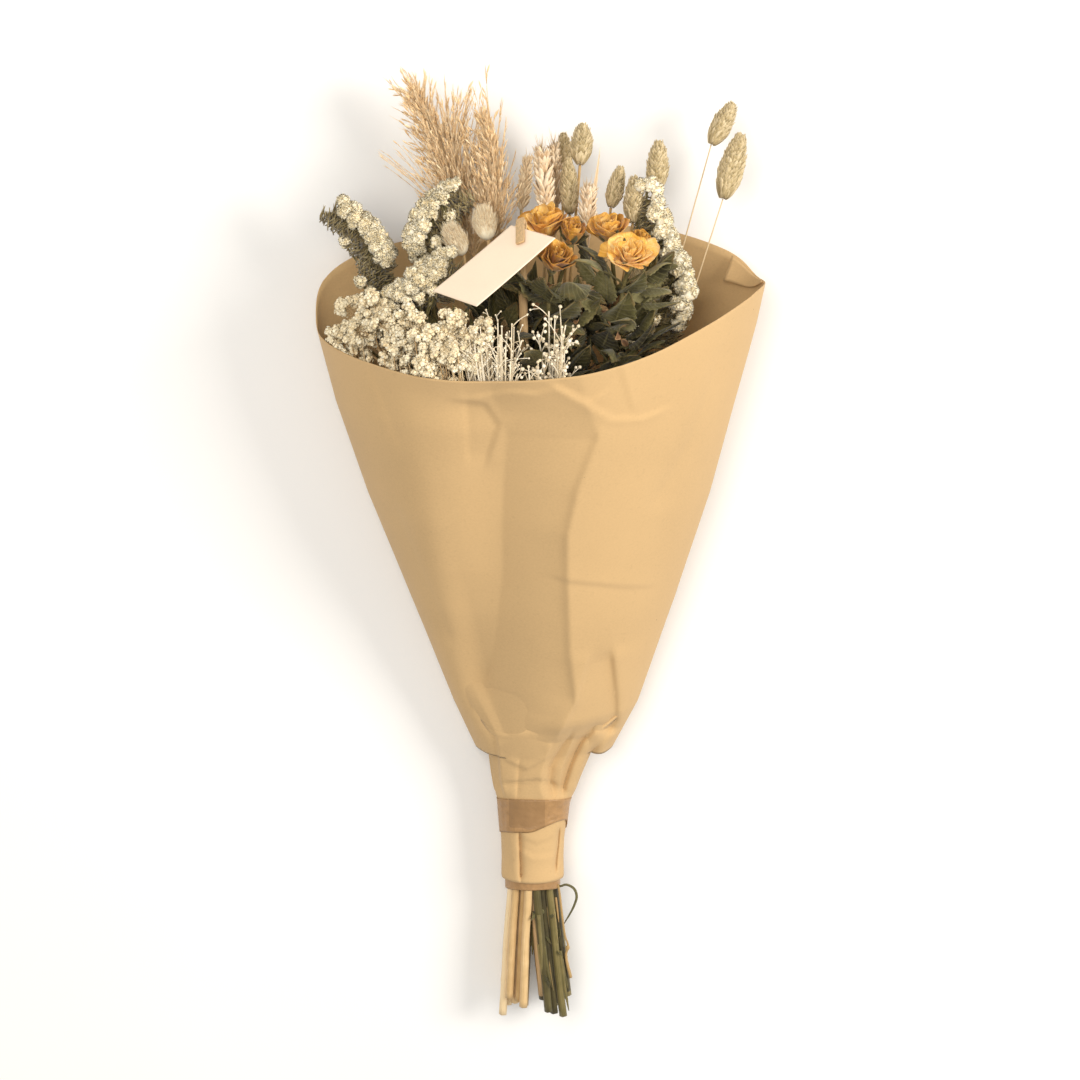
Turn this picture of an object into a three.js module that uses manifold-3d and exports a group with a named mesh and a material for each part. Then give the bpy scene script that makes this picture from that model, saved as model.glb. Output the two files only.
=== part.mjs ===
// A mixed bouquet of dried flowers in a kraft paper wrap, lying on its back on a surface.
// Millimetres, +Z up. The bouquet's length runs along Y: the flower heads point to +Y and the cut
// stems to -Y. The origin is the middle of its footprint, on the surface that it lies on.
import * as THREE from 'three';
import Module from 'manifold-3d';

const wasm = await Module();
wasm.setup();
const { Manifold } = wasm;

// ---------------------------------------------------------------- driving dimensions

const GAP = 0.3;                    // clearance between pieces that touch on the real bouquet
const FINEST = 0.12;                // ripples finer than this are smoothed away where pieces join
const NEAREST = 0.005;              // points of a skin stay at least this far apart
const NUDGES = [0, 0.04, -0.04, 0.08, -0.08, 0.12, -0.12];
const SHEET = 0.8;                  // the wrap's sheet, thicker than real paper so that it is a solid

const BUNDLE = {                    // the stems where they are bound together
  x: -4.6, z: 19.6,                 // the bundle's axis
  pitch: 5.3,                       // distance between the axes of two neighbouring stems
  stem: 2.45,                       // a stem's radius in the bundle
  fanFrom: -157,                    // the stems spread from here towards the heads
  bound: -214,                      // and below here towards their cut ends
  cutEnd: -299,                     // the longest stem's end
  bend: 50,                         // how gently they start to spread
};
const SPLAY = { left: -3, right: 7.5, scale: 1.2 };   // how far the cut ends lean apart

// The cone of the wrap: y, half width, middle x, height of its side creases, height of its top.
const CONE = [
  [-121, 42.5, 2.6, 18, 50],
  [-90, 57.0, 3.7, 20, 68],
  [-21, 81.5, 1.9, 26, 94],
  [46, 103.6, -0.6, 30, 117],
  [103, 119.0, -2.7, 35, 135],
  [150, 130.0, -2.4, 38, 147],
  [205, 141.0, -2.0, 42, 158],
];
// The gathered neck under the cone: y, half width, middle x, bottom height, top height.
const NECK = [
  [-214, 18.7, -4.6, 0.9, 38.2],
  [-181, 19.7, -4.6, 0.9, 38.2],
  [-157, 22.0, -4.0, 0.9, 38.4],
  [-140, 26.6, -2.2, 0.9, 40.5],
  [-121, 31.5, 0.5, 1.3, 45.5],
  [-104, 41.0, 2.5, 1.5, 54.0],
];
// The rim's height along Y by the turn round the cone in degrees, from the right crease over the
// front. Both creases end in corners, and the back sheet stands out past the front one.
const RIM = [
  [0, 175], [15, 175], [30, 169.5], [45, 160.4], [60, 149.1], [75, 141.2], [90, 137],
  [105, 134.6], [120, 135.1], [135, 138.5], [150, 141.1], [165, 143.5], [180, 147],
  [195, 169.5], [210, 181.5], [225, 190], [240, 195], [255, 198], [270, 200.4],
  [285, 202.7], [300, 202], [315, 194.8], [330, 187.5], [345, 176], [360, 175],
];
const FLATTENED = 6;                // how far the paper's round underside is pressed flat
const CURVED = { front: 1.25, back: 0.9 };   // how the cone's front and back bulge between its creases
const HEM = { neck: -206, rise: 1.2 };       // the neck's hem, and how much shorter it is in front
const AROUND = 32;                  // points round the paper
const PLEATS = 9;
const PLEAT_DEPTH = 1.7;
const SMOOTH_FROM = -60;            // the skirt's pleats fade out at this height
const PLEATS_FADE = { skirt: 60, neck: 20 };   // the lengths over which pleats fade in

const TAPE_NECK = { from: -175, to: -153, thick: 0.5 };   // tape over the gathered paper
const TAPE_STEMS = { from: -213, to: -200, thick: 0.5 };    // tape round the stems, under the hem
const TIE = { from: -172, to: -166, thick: 0.7 };           // rubber band round the bundle

const CARD = { long: 62.4, short: 41.3, thick: 0.6 };
const CARD_CORNER = [-16.2, 220.5, 110];
const CARD_LONG_WAY = [-0.691, -0.532, 0.489];   // along the long edge, away from the holder
const CARD_SHORT_WAY = [0.6, -0.043, 0.799];    // along the short edge that the holder grips
// The holder: two prongs with a slit between, joined in a root block behind the card's edge.
const STICK = {
  wide: 5.2, prong: 1.7, reach: 25,
  behind: 7.5,                      // how far it stands back from the edge
  root: 3,                          // length of the root block
  gripAt: 0.23,                     // where it grips, as a share of the short edge
  way: [0.52, 0.6],                 // its way, as shares of the card's long and short way
};

// ---------------------------------------------------------------- small tools

const V = (x, y, z) => new THREE.Vector3(x, y, z);
const at = (a) => V(a[0], a[1], a[2]);
const lerp = THREE.MathUtils.lerp;
const clamp = THREE.MathUtils.clamp;
const TAU = 2 * Math.PI;

// A repeatable draw of numbers from 0 to 1 (the Park-Miller rule).
function draw(seed) {
  let state = seed;
  return () => {
    state = (state * 16807) % 2147483647;
    return (state - 1) / 2147483646;
  };
}

// Reads a table of rows that start with y, straight between its rows and past its ends.
function read(table, y) {
  let i = 0;
  while (i < table.length - 2 && y > table[i + 1][0]) i += 1;
  const [a, b] = [table[i], table[i + 1]];
  const t = (y - a[0]) / (b[0] - a[0]);
  return a.slice(1).map((value, k) => lerp(value, b[k + 1], t));
}

// A closed solid from its points and triangles.
function solid(points, faces) {
  const geometry = new THREE.BufferGeometry().setFromPoints(points);
  geometry.setIndex(faces.flat());
  return new Manifold(new wasm.Mesh({
    numProp: 3,
    vertProperties: geometry.getAttribute('position').array,
    triVerts: new Uint32Array(geometry.getIndex().array),
  }));
}

// Joins rings of points into one closed skin; a ring of one point is a tip. A loop of rings
// closes on itself and has no ends.
function loft(rings, loop = false) {
  const start = [];
  let count = 0;
  for (const ring of rings) {
    start.push(count);
    count += ring.length;
  }
  const faces = [];
  const pairs = loop ? rings.length : rings.length - 1;
  for (let i = 0; i < pairs; i++) {
    const k = (i + 1) % rings.length;
    const [m, n] = [rings[i].length, rings[k].length];
    for (let j = 0; j < Math.max(m, n); j++) {
      const next = (j + 1) % Math.max(m, n);
      const [a, b] = m > 1 ? [start[i] + j, start[i] + next] : [start[i], start[i]];
      const [c, d] = n > 1 ? [start[k] + j, start[k] + next] : [start[k], start[k]];
      if (m > 1) faces.push([a, b, d]);
      if (n > 1) faces.push([a, d, c]);
    }
  }
  if (!loop) {
    const last = rings.length - 1;
    const [first, end] = [start[0], start[last]];
    for (let j = 1; j + 1 < rings[0].length; j++) faces.push([first, first + j + 1, first + j]);
    for (let j = 1; j + 1 < rings[last].length; j++) faces.push([end, end + j, end + j + 1]);
  }
  return solid(rings.flat(), faces);
}

// Two directions across a tangent, so that (side, up, tangent) is right-handed.
function across(tangent) {
  const guide = Math.abs(tangent.z) > 0.95 ? V(0, 1, 0) : V(0, 0, 1);
  const side = guide.cross(tangent).normalize();
  return [side, tangent.clone().cross(side)];
}

// A tube along a path, with a radius at each point; a radius of 0 at an end makes it a tip. A pair
// of radii makes a jagged ring whose points stand in and out by turns.
function tube(path, radii, sides, grow = 0) {
  const last = path.length - 1;
  return loft(path.map((point, i) => {
    const tangent = path[Math.min(i + 1, last)].clone().sub(path[Math.max(i - 1, 0)]).normalize();
    const [side, up] = across(tangent);
    const out = (i === last ? grow : 0) - (i === 0 ? grow : 0);
    const centre = point.clone().addScaledVector(tangent, out);
    if (radii[i] === 0) return [centre];
    const pair = [radii[i]].flat();
    return Array.from({ length: sides }, (_, j) => {
      const angle = TAU * j / sides;
      const radius = pair[j % pair.length] + grow;
      return centre.clone()
        .addScaledVector(side, radius * Math.cos(angle)).addScaledVector(up, radius * Math.sin(angle));
    });
  }));
}

// A thin plate round a grid of points, such as a leaf or a petal. Both faces are split alike.
function plate(grid, thick, grow = 0) {
  const [rows, cols] = [grid.length, grid[0].length];
  const point = (i, j) => grid[clamp(i, 0, rows - 1)][clamp(j, 0, cols - 1)];
  const half = thick / 2 + grow;
  const [top, bottom] = [[], []];
  for (let i = 0; i < rows; i++) {
    for (let j = 0; j < cols; j++) {
      const along = point(i + 1, j).clone().sub(point(i - 1, j));
      const over = point(i, j + 1).clone().sub(point(i, j - 1));
      const normal = along.clone().cross(over).normalize();
      const middle = grid[i][j].clone();
      if (i === 0) middle.addScaledVector(along.clone().normalize(), -grow);
      if (i === rows - 1) middle.addScaledVector(along.clone().normalize(), grow);
      if (j === 0) middle.addScaledVector(over.clone().normalize(), -grow);
      if (j === cols - 1) middle.addScaledVector(over.clone().normalize(), grow);
      top.push(middle.clone().addScaledVector(normal, half));
      bottom.push(middle.clone().addScaledVector(normal, -half));
    }
  }
  const under = top.length;
  const faces = [];
  for (let i = 0; i + 1 < rows; i++) {
    for (let j = 0; j + 1 < cols; j++) {
      const [a, b] = [i * cols + j, (i + 1) * cols + j];
      const [c, d] = [b + 1, a + 1];
      faces.push([a, b, c], [a, c, d]);
      faces.push([under + a, under + c, under + b], [under + a, under + d, under + c]);
    }
  }
  const edge = [];
  for (let i = 0; i < rows - 1; i++) edge.push(i * cols);
  for (let j = 0; j < cols - 1; j++) edge.push((rows - 1) * cols + j);
  for (let i = rows - 1; i > 0; i--) edge.push(i * cols + cols - 1);
  for (let j = cols - 1; j > 0; j--) edge.push(j);
  edge.forEach((p, k) => {
    const q = edge[(k + 1) % edge.length];
    faces.push([p, under + p, under + q], [p, under + q, q]);
  });
  return solid([...top, ...bottom], faces);
}

// Where a head's rings stand and how wide they are: scales or hairs are raised by relief, by turns.
function headRings(base, tip, radius, rows, relief) {
  const rings = Array.from({ length: rows - 1 }, (_, i) => {
    const t = (i + 0.7) / (rows - 0.3);
    const r = radius * Math.sin(Math.PI * Math.pow(t, 0.8)) ** 0.6;
    const pair = [r * (1 + relief), r * (1 - relief)];
    return { point: base.clone().lerp(tip, t), radius: i % 2 ? pair : pair.reverse() };
  });
  return [...rings, { point: tip.clone(), radius: 0 }];
}

// ---------------------------------------------------------------- the flowers

// Every stem: where its head or its first fork starts, and how thick it is there.
const FLOWERS = [
  { name: 'rose_stem_1', at: [8, 172, 84], thin: 1.3, foot: 14 },
  { name: 'rose_stem_2', at: [5, 181, 103], thin: 1.3, foot: 3 },
  { name: 'rose_stem_3', at: [44, 174, 80], thin: 1.3, foot: 9 },
  { name: 'rose_stem_4', at: [48, 184, 99], thin: 1.3, foot: 1 },
  { name: 'leafy_stem', at: [26, 150, 72], thin: 1.2, foot: 16 },
  { name: 'pampas_plume_left', at: [-38, 186, 40], thin: 1.6, foot: 6 },
  { name: 'pampas_plume_right', at: [-27, 190, 48], thin: 1.6, foot: 12 },
  { name: 'wheat_ear_1', at: [3.5, 217, 62], thin: 1.1, foot: 8 },
  { name: 'wheat_ear_2', at: [9.5, 221, 46], thin: 1.0, foot: 14 },
  { name: 'wheat_ear_3', at: [27, 208, 64], thin: 1.0, foot: 4 },
  { name: 'reed_ear', at: [-11, 219, 44], thin: 0.9, foot: 10 },
  { name: 'canary_grass_1', at: [23.3, 246.4, 50], thin: 0.8, foot: 15 },
  { name: 'canary_grass_2', at: [14.6, 240.8, 34], thin: 0.8, foot: 11 },
  { name: 'canary_grass_3', at: [17.5, 217.9, 54], thin: 0.8, foot: 2 },
  { name: 'canary_grass_4', at: [67.7, 231.2, 50], thin: 0.8, foot: 12 },
  { name: 'canary_grass_5', at: [41.4, 221.5, 52], thin: 0.8, foot: 7 },
  { name: 'canary_grass_6', at: [54, 214, 62], thin: 0.8, foot: 13 },
  { name: 'canary_grass_7', at: [100.4, 255.9, 34], thin: 0.8, foot: 5 },
  { name: 'canary_grass_8', at: [107.5, 224.9, 40], thin: 0.8, foot: 9 },
  { name: 'canary_grass_9', at: [54, 160, 78], thin: 0.8, foot: 16 },
  { name: 'bunny_tail_1', at: [-30, 206, 72], thin: 0.8, foot: 11 },
  { name: 'bunny_tail_2', at: [-44, 198, 76], thin: 0.8, foot: 8 },
  { name: 'statice_stem_1', at: [-84, 172, 66], thin: 1.3, foot: 10 },
  { name: 'statice_stem_2', at: [-66, 186, 72], thin: 1.3, foot: 5 },
  { name: 'statice_stem_3', at: [-72, 160, 84], thin: 1.2, foot: 13 },
  { name: 'statice_stem_4', at: [64, 150, 66], thin: 1.3, foot: 12 },
  { name: 'broom_bloom_left', at: [-72, 118, 78], thin: 1.2, foot: 0 },
  { name: 'broom_bloom_right', at: [-38, 112, 96], thin: 1.2, foot: 11 },
  { name: 'white_bud_spray_left', at: [-22, 118, 104], thin: 1.1, foot: 9 },
  { name: 'white_bud_spray_right', at: [6, 124, 108], thin: 1.1, foot: 6 },
  { name: 'card_stick', at: [-9.6, 216, 106], thin: 2.4, foot: 15 },
];

// Slots of the bundle: rows of a honeycomb, less its six corners, which leaves 31 in a round.
function bundleSlots() {
  const slots = [];
  for (let row = -3; row <= 3; row++) {
    for (let q = -3; q <= 3; q++) {
      const ring = Math.max(Math.abs(q), Math.abs(row), Math.abs(q + row));
      const far = q * q + q * row + row * row;
      if (ring > 3 || far > 7) continue;
      slots.push([BUNDLE.pitch * (q + row / 2), BUNDLE.pitch * row * Math.sqrt(3) / 2]);
    }
  }
  return slots;
}

// How far a stem has spread at y, as a curve that leaves the bundle straight and then runs out.
function spread(y) {
  const run = Math.max(y - BUNDLE.fanFrom, 0);
  return Math.hypot(run, BUNDLE.bend) - BUNDLE.bend;
}

// Gives each stem the slot on its own side of the bundle: two stems swap slots until every pair
// spreads the way its slots lie, so that no two stems cross.
function giveSlots() {
  const slots = bundleSlots();
  const lean = FLOWERS.map((f) => {
    const s = spread(f.at[1]);
    return [(f.at[0] - BUNDLE.x) / s, (f.at[2] - BUNDLE.z) / s];
  });
  const chosen = FLOWERS.map((_, i) => i);
  for (let swapped = true; swapped;) {
    swapped = false;
    for (let i = 0; i < chosen.length; i++) {
      for (let j = i + 1; j < chosen.length; j++) {
        const [a, b] = [slots[chosen[i]], slots[chosen[j]]];
        const [u, v] = [lean[i], lean[j]];
        if ((u[0] - v[0]) * (a[0] - b[0]) + (u[1] - v[1]) * (a[1] - b[1]) < -1e-9) {
          [chosen[i], chosen[j]] = [chosen[j], chosen[i]];
          swapped = true;
        }
      }
    }
  }
  FLOWERS.forEach((f, i) => { f.slot = slots[chosen[i]]; });
}
giveSlots();
const flower = Object.fromEntries(FLOWERS.map((f) => [f.name, f]));

// A stem's axis at y, from its cut end to its head.
function stemPoint(f, y) {
  const [sx, sz] = f.slot;
  const head = spread(f.at[1]);
  const t = spread(y) / head;
  const lean = sx < -0.1 ? SPLAY.left : SPLAY.right;
  const down = Math.max(BUNDLE.bound - y, 0) / (BUNDLE.bound - BUNDLE.cutEnd);
  const x = BUNDLE.x + sx;
  const z = BUNDLE.z + sz;
  return V(
    lerp(x, f.at[0], t) + down * (lean + sx * (SPLAY.scale - 1)),
    y,
    lerp(z, f.at[2], t),
  );
}

const STATIONS = [BUNDLE.bound, BUNDLE.fanFrom, -115, -50];
// The stem's path and radii, thinner towards its head.
function stemRings(f) {
  const ys = [BUNDLE.cutEnd + f.foot, ...STATIONS, f.at[1]];
  const shares = [0, 0, 0, 0.3, 0.7, 1];
  return ys.map((y, i) => ({ point: stemPoint(f, y), radius: lerp(BUNDLE.stem, f.thin, shares[i]) }));
}
function along(rings, sides, grow) {
  return tube(rings.map((r) => r.point), rings.map((r) => r.radius), sides, grow);
}
const stem = (f, grow = 0) => along(stemRings(f), 5, grow);

// A stem that runs on into its own head, as one skin.
function headedStem(f, tip, radius, rows, relief, grow = 0) {
  const head = headRings(at(f.at), tip, radius, rows, relief);
  return along([...stemRings(f), ...head], 6, grow);
}

// ---------------------------------------------------------------- parts of plants

// A leaf with a toothed edge, folded a little along its rib and arched to its tip.
function leaf(base, way, face, length, width, fold, grow = 0) {
  const tangent = way.clone().normalize();
  const side = face.clone().cross(tangent).normalize();
  const up = tangent.clone().cross(side);
  const steps = 4;
  const grid = [];
  for (let i = 0; i <= steps; i++) {
    const t = i / steps;
    const swell = 0.12 + 0.88 * Math.sin(Math.PI * Math.pow(t, 0.75)) ** 0.8;
    const half = width / 2 * swell * (i === steps ? 0.3 : 1);
    const tooth = i % 2 ? 1.12 : 0.9;
    const centre = base.clone().addScaledVector(tangent, length * t)
      .addScaledVector(up, length * 0.22 * t * t);
    grid.push([-1, 0, 1].map((u) => centre.clone()
      .addScaledVector(side, u * half * tooth)
      .addScaledVector(up, Math.abs(u) * half * fold)));
  }
  return plate(grid, 0.7, grow);
}

// A rose bloom as one skin that runs up and down through its layers of petals. Each layer is a ring
// of five petals with notches between them; the outer ones roll outwards by open.
const PETALS = 5;
function bloomSkin(foot, axis, radius, height, open, turn, grow = 0) {
  const [side, up] = across(axis);
  // One row per ring: share of the radius, share of the height, lip (1 on a rim), turn of its petals.
  const rows = [
    [0.24, 0.0, 0, 0], [0.7, 0.2, 0, 0], [0.94, 0.56, 0.5, 0], [0.99, 0.8, 1, 0],
    [0.86, 0.8, 0.9, 0], [0.72, 0.5, 0, 1],
    [0.66, 0.9, 0.8, 1], [0.55, 0.9, 0.7, 1], [0.43, 0.6, 0, 2],
    [0.37, 0.99, 0.5, 2], [0.26, 0.97, 0.4, 2], [0.15, 0.72, 0, 2],
  ];
  const around = 3 * PETALS;
  const rings = rows.map(([wide, high, lip, layer], i) => Array.from({ length: around }, (_, j) => {
    const notch = (j + layer) % 3 === 0 ? lip : 0;
    const angle = turn + TAU * j / around;
    const rolled = layer === 0 ? open * lip : 0;
    const uneven = 1 + 0.07 * Math.sin(angle + 1.9 * layer) * Math.sign(high);
    const r = (radius * wide + rolled) * (1 - 0.13 * notch) * uneven + grow * (i < 5 ? 1 : 0.5);
    const rise = height * (high - 0.17 * notch) - (i ? 0 : grow) + (lip ? grow : 0);
    return foot.clone().addScaledVector(axis, rise)
      .addScaledVector(side, r * Math.cos(angle)).addScaledVector(up, r * Math.sin(angle));
  }));
  rings.push([foot.clone().addScaledVector(axis, height * 0.94 + grow)]);
  return loft(rings);
}

// A papery floret: a small funnel with a ruffled rim.
function floret(root, way, radius, depth, turn, grow = 0) {
  const axis = way.clone().normalize();
  const [side, up] = across(axis);
  const rim = Array.from({ length: 6 }, (_, j) => {
    const angle = turn + TAU * j / 6;
    const r = radius * (j % 2 ? 1 : 0.72) + grow;
    return root.clone().addScaledVector(axis, depth * (j % 2 ? 1 : 0.86))
      .addScaledVector(side, r * Math.cos(angle)).addScaledVector(up, r * Math.sin(angle));
  });
  return loft([
    [root.clone().addScaledVector(axis, -grow)], rim,
    [root.clone().addScaledVector(axis, depth * 0.72 + grow)],
  ]);
}

// A small drop-shaped bud.
function bud(root, way, radius, length, sides, grow = 0) {
  const axis = way.clone().normalize();
  const [side, up] = across(axis);
  const ring = Array.from({ length: sides }, (_, j) => {
    const angle = TAU * j / sides;
    return root.clone().addScaledVector(axis, length * 0.62)
      .addScaledVector(side, (radius + grow) * Math.cos(angle))
      .addScaledVector(up, (radius + grow) * Math.sin(angle));
  });
  return loft([[root.clone()], ring, [root.clone().addScaledVector(axis, length + grow)]]);
}

// A slim tapered blade of three sides, bent towards a second direction: a hair, awn or bract.
function needle(root, way, bend, length, radius, grow = 0) {
  const middle = root.clone().addScaledVector(way, length * 0.5);
  const tip = middle.clone().addScaledVector(bend, length * 0.5);
  return tube([root, middle, tip], [radius * 0.7, radius, 0], 3, grow);
}

// A direction that leans out from an axis by a share, turned round it.
function leaning(axis, turn, share) {
  const [side, up] = across(axis);
  return axis.clone().multiplyScalar(1 - share * 0.5)
    .addScaledVector(side, share * Math.cos(turn)).addScaledVector(up, share * Math.sin(turn)).normalize();
}

// ---------------------------------------------------------------- the nodes

// Each part has a core, which nothing cuts, and pieces on it. Where a piece would cross another
// part it is left out, or, if it is large, cut clear of it.
const parts = [];
function part(name, material, core, pieces = []) {
  parts.push({ name, material, core, pieces });
}
const cut = (make) => ({ make, large: true });
const small = (make) => ({ make, large: false });

function material(color, roughness = 0.85) {
  return new THREE.MeshStandardMaterial({ color, roughness, metalness: 0 });
}
const KRAFT = material(0xd0a874);
const TAPE = material(0xac8254, 0.45);
const RUBBER = material(0xb98a55, 0.6);
const CARD_STOCK = material(0xf7e6cd, 0.7);
const WOOD = material(0xb8935f);
const ROSE = material(0xc98a2a);
const ROSE_GREEN = material(0x6b6138);
const STATICE_GREEN = material(0x6f5f38);
const STATICE_CREAM = material(0xf0dcb4);
const BROOM_CREAM = material(0xe6cfa2);
const BUD_WHITE = material(0xeadcc2);
const PAMPAS = material(0xc9a67c);
const WHEAT = material(0xdcba8c);
const CANARY = material(0xc3ac78);
const BUNNY = material(0xdfcdaa);

// --- the paper wrap

function coneHeights(y) {
  const [w, x, side, top] = read(CONE, y);
  return { w, x, side, top };
}

// A point of the cone's sheet at angle a (0 at the right crease, a quarter turn at the top),
// set in from the outer face by inset. The underside is pressed flat on the surface.
function conePoint(y, a, inset) {
  const { w, x, side, top } = coneHeights(y);
  const [c, s] = [Math.cos(a), Math.sin(a)];
  const z = s >= 0
    ? side + (top - side - inset) * Math.pow(s, CURVED.front)
    : Math.max(side - (side + FLATTENED - inset) * Math.pow(-s, CURVED.back), inset);
  const pleated = clamp((SMOOTH_FROM - y) / PLEATS_FADE.skirt, 0, 1) * Math.max(s, 0);
  const wave = PLEAT_DEPTH * pleated * Math.cos(PLEATS * a);
  return V(x + (w - inset + wave) * c, y, z + wave * s);
}

// A point of the gathered neck, whose pleats fade out towards its bound part and its underside.
function neckPoint(y, a, inset) {
  const [w, x, low, high] = read(NECK, y);
  const [c, s] = [Math.cos(a), Math.sin(a)];
  const pleated = clamp((y - BUNDLE.fanFrom) / PLEATS_FADE.neck, 0, 1) * (1 + s) / 2;
  const r = 1 + PLEAT_DEPTH * pleated * Math.cos(PLEATS * a) / w;
  return V(x + (w - inset) * c * r, y, (low + high) / 2 + ((high - low) / 2 - inset) * s * r);
}

function rimAt(a) {
  return read(RIM, a * 360 / TAU)[0];
}
const neckHem = (a) => HEM.neck + HEM.rise * Math.max(Math.sin(a), 0);

function paperWrap(grow = 0) {
  const around = AROUND;
  const hem = CONE[0][0];
  const outer = [1, 0.75, 0.5, 0.25, 0];      // shares of the way from hem to rim
  const ring = (point) => Array.from({ length: around }, (_, j) => point(TAU * j / around));
  const longer = (v) => (v === 1 ? grow : 0) - (v === 0 ? grow : 0);
  const share = (v, inset) => ring((a) => conePoint(lerp(hem, rimAt(a), v) + longer(v), a, inset));
  const neckYs = [-104, -121, -140, -157, -181];
  const rings = [
    ...outer.map((v) => share(v, -grow)),
    share(0, SHEET + grow),
    ring((a) => conePoint(-90, a, SHEET + grow)),
    ...neckYs.map((y) => ring((a) => neckPoint(y, a, -grow))),
    ring((a) => neckPoint(neckHem(a) - grow, a, -grow)),
    ring((a) => neckPoint(neckHem(a) - grow, a, SHEET + grow)),
    ...neckYs.slice().reverse().map((y) => ring((a) => neckPoint(y, a, SHEET + grow))),
    ...outer.slice(0, 4).reverse().map((v) => share(v, SHEET + grow)),
  ];
  return loft(rings, true);
}
part('kraft_paper_wrap', KRAFT, paperWrap);

// A band round the neck, as a closed loop of four edges.
function band(from, to, section, thick, around, grow = 0) {
  const ring = (y, inset) => Array.from({ length: around }, (_, j) => section(y, TAU * j / around, inset));
  return loft([
    ring(to + grow, -thick - grow), ring(from - grow, -thick - grow),
    ring(from - grow, grow), ring(to + grow, grow),
  ], true);
}
const overPaper = (y, a, inset) => neckPoint(y, a, inset - GAP);
const roundStems = (y, a, inset) => {
  const r = BUNDLE.pitch * Math.sqrt(7) + BUNDLE.stem + GAP - inset;
  return V(BUNDLE.x + r * Math.cos(a), y, BUNDLE.z + r * Math.sin(a));
};
const ROUND = 20;                   // points round the stems' bindings
part('neck_tape', TAPE, (g = 0) => (
  band(TAPE_NECK.from, TAPE_NECK.to, overPaper, TAPE_NECK.thick, AROUND, g)));
part('stem_tape', TAPE, (g = 0) => (
  band(TAPE_STEMS.from, TAPE_STEMS.to, roundStems, TAPE_STEMS.thick, ROUND, g)));
part('stem_band', RUBBER, (g = 0) => band(TIE.from, TIE.to, roundStems, TIE.thick, ROUND, g));

// --- the card and its wooden holder

const longWay = at(CARD_LONG_WAY).normalize();
const shortWay = at(CARD_SHORT_WAY).addScaledVector(longWay, -at(CARD_SHORT_WAY).dot(longWay)).normalize();
const cardFace = longWay.clone().cross(shortWay).normalize();

// A box from a corner along three directions.
function box(corner, ways, sizes, grow = 0) {
  const base = corner.clone();
  ways.forEach((way) => base.addScaledVector(way, -grow));
  const edge = (k) => ways[k].clone().multiplyScalar(sizes[k] + 2 * grow);
  const [a, b, c] = [edge(0), edge(1), edge(2)];
  const ring = (lift) => [V(0, 0, 0), a, a.clone().add(b), b].map((p) => base.clone().add(p).add(lift));
  const turned = a.clone().cross(b).dot(c) > 0;
  const rings = [ring(V(0, 0, 0)), ring(c)];
  return loft(turned ? rings : rings.map((r) => r.reverse()));
}
const cardCorner = at(CARD_CORNER);
part('card', CARD_STOCK, (g = 0) => box(cardCorner.clone().addScaledVector(cardFace, -CARD.thick / 2),
  [longWay, shortWay, cardFace], [CARD.long, CARD.short, CARD.thick], g));

// The holder's two prongs lie on both faces of the card, joined behind its short edge.
const grip = cardCorner.clone().addScaledVector(shortWay, CARD.short * STICK.gripAt);
const prongWay = longWay.clone().multiplyScalar(STICK.way[0])
  .addScaledVector(shortWay, STICK.way[1]).normalize();
const prongSide = cardFace.clone().cross(prongWay).normalize();
function holder(grow = 0) {
  const slit = CARD.thick / 2 + GAP + 0.05;
  const start = grip.clone().addScaledVector(prongWay, -STICK.behind)
    .addScaledVector(prongSide, -STICK.wide / 2);
  const prong = (from) => box(start.clone().addScaledVector(cardFace, from),
    [prongWay, prongSide, cardFace], [STICK.reach, STICK.wide, STICK.prong], grow);
  const root = box(start.clone().addScaledVector(cardFace, -slit - STICK.prong),
    [prongWay, prongSide, cardFace], [STICK.root, STICK.wide, 2 * (slit + STICK.prong)], grow);
  const f = flower.card_stick;
  const top = start.clone().addScaledVector(prongSide, STICK.wide / 2)
    .addScaledVector(prongWay, STICK.root / 2);
  f.at = [top.x, top.y, top.z];
  return Manifold.union([prong(slit), prong(-slit - STICK.prong), root, stem(f, grow)]);
}
part('card_stick', WOOD, holder);

// --- roses

// Each bloom: middle, the way it faces, radius, height, and how far its outer petals open.
const BLOOMS = [
  {
    name: 'rose_bloom_1', on: 'rose_stem_1', middle: [2.9, 217.9, 88], face: [-0.12, 0.93, 0.3],
    radius: 13.0, height: 16, open: 3.2,
  },
  {
    name: 'rose_bloom_2', on: 'rose_stem_1', middle: [18.3, 213.5, 95], face: [0.15, 0.85, 0.45],
    radius: 8.0, height: 15, open: 0.2,
  },
  {
    name: 'rose_bloom_3', on: 'rose_stem_3', middle: [39.6, 215, 90], face: [-0.1, 0.9, 0.35],
    radius: 10.8, height: 16, open: 1.2,
  },
  {
    name: 'rose_bloom_4', on: 'rose_stem_2', middle: [9.1, 202, 113], face: [0.22, 0.72, 0.66],
    radius: 10.2, height: 17, open: 1.0,
  },
  {
    name: 'rose_bloom_5', on: 'rose_stem_4', middle: [50.6, 203.3, 110], face: [0.05, 0.82, 0.55],
    radius: 12.6, height: 14, open: 4.0,
  },
  {
    name: 'rose_bloom_6', on: 'rose_stem_3', middle: [57.5, 206.5, 82], face: [0.15, 0.92, 0.3],
    radius: 6.8, height: 12, open: 0.4,
  },
];
BLOOMS.forEach((b, n) => {
  const axis = at(b.face).normalize();
  const foot = at(b.middle).addScaledVector(axis, -b.height / 2);
  b.axis = axis;
  b.foot = foot;
  const seat = foot.clone().addScaledVector(axis, GAP + 0.1);
  const turn = 0.5 * n;
  const core = (g = 0) => tube([0, 0.5].map((t) => seat.clone().addScaledVector(axis, b.height * t)),
    [b.radius * 0.2, b.radius * 0.1], 5, g);
  const skin = cut((g = 0) => bloomSkin(seat, axis, b.radius, b.height, b.open, turn, g));
  part(b.name, ROSE, core, [skin]);
});

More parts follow.
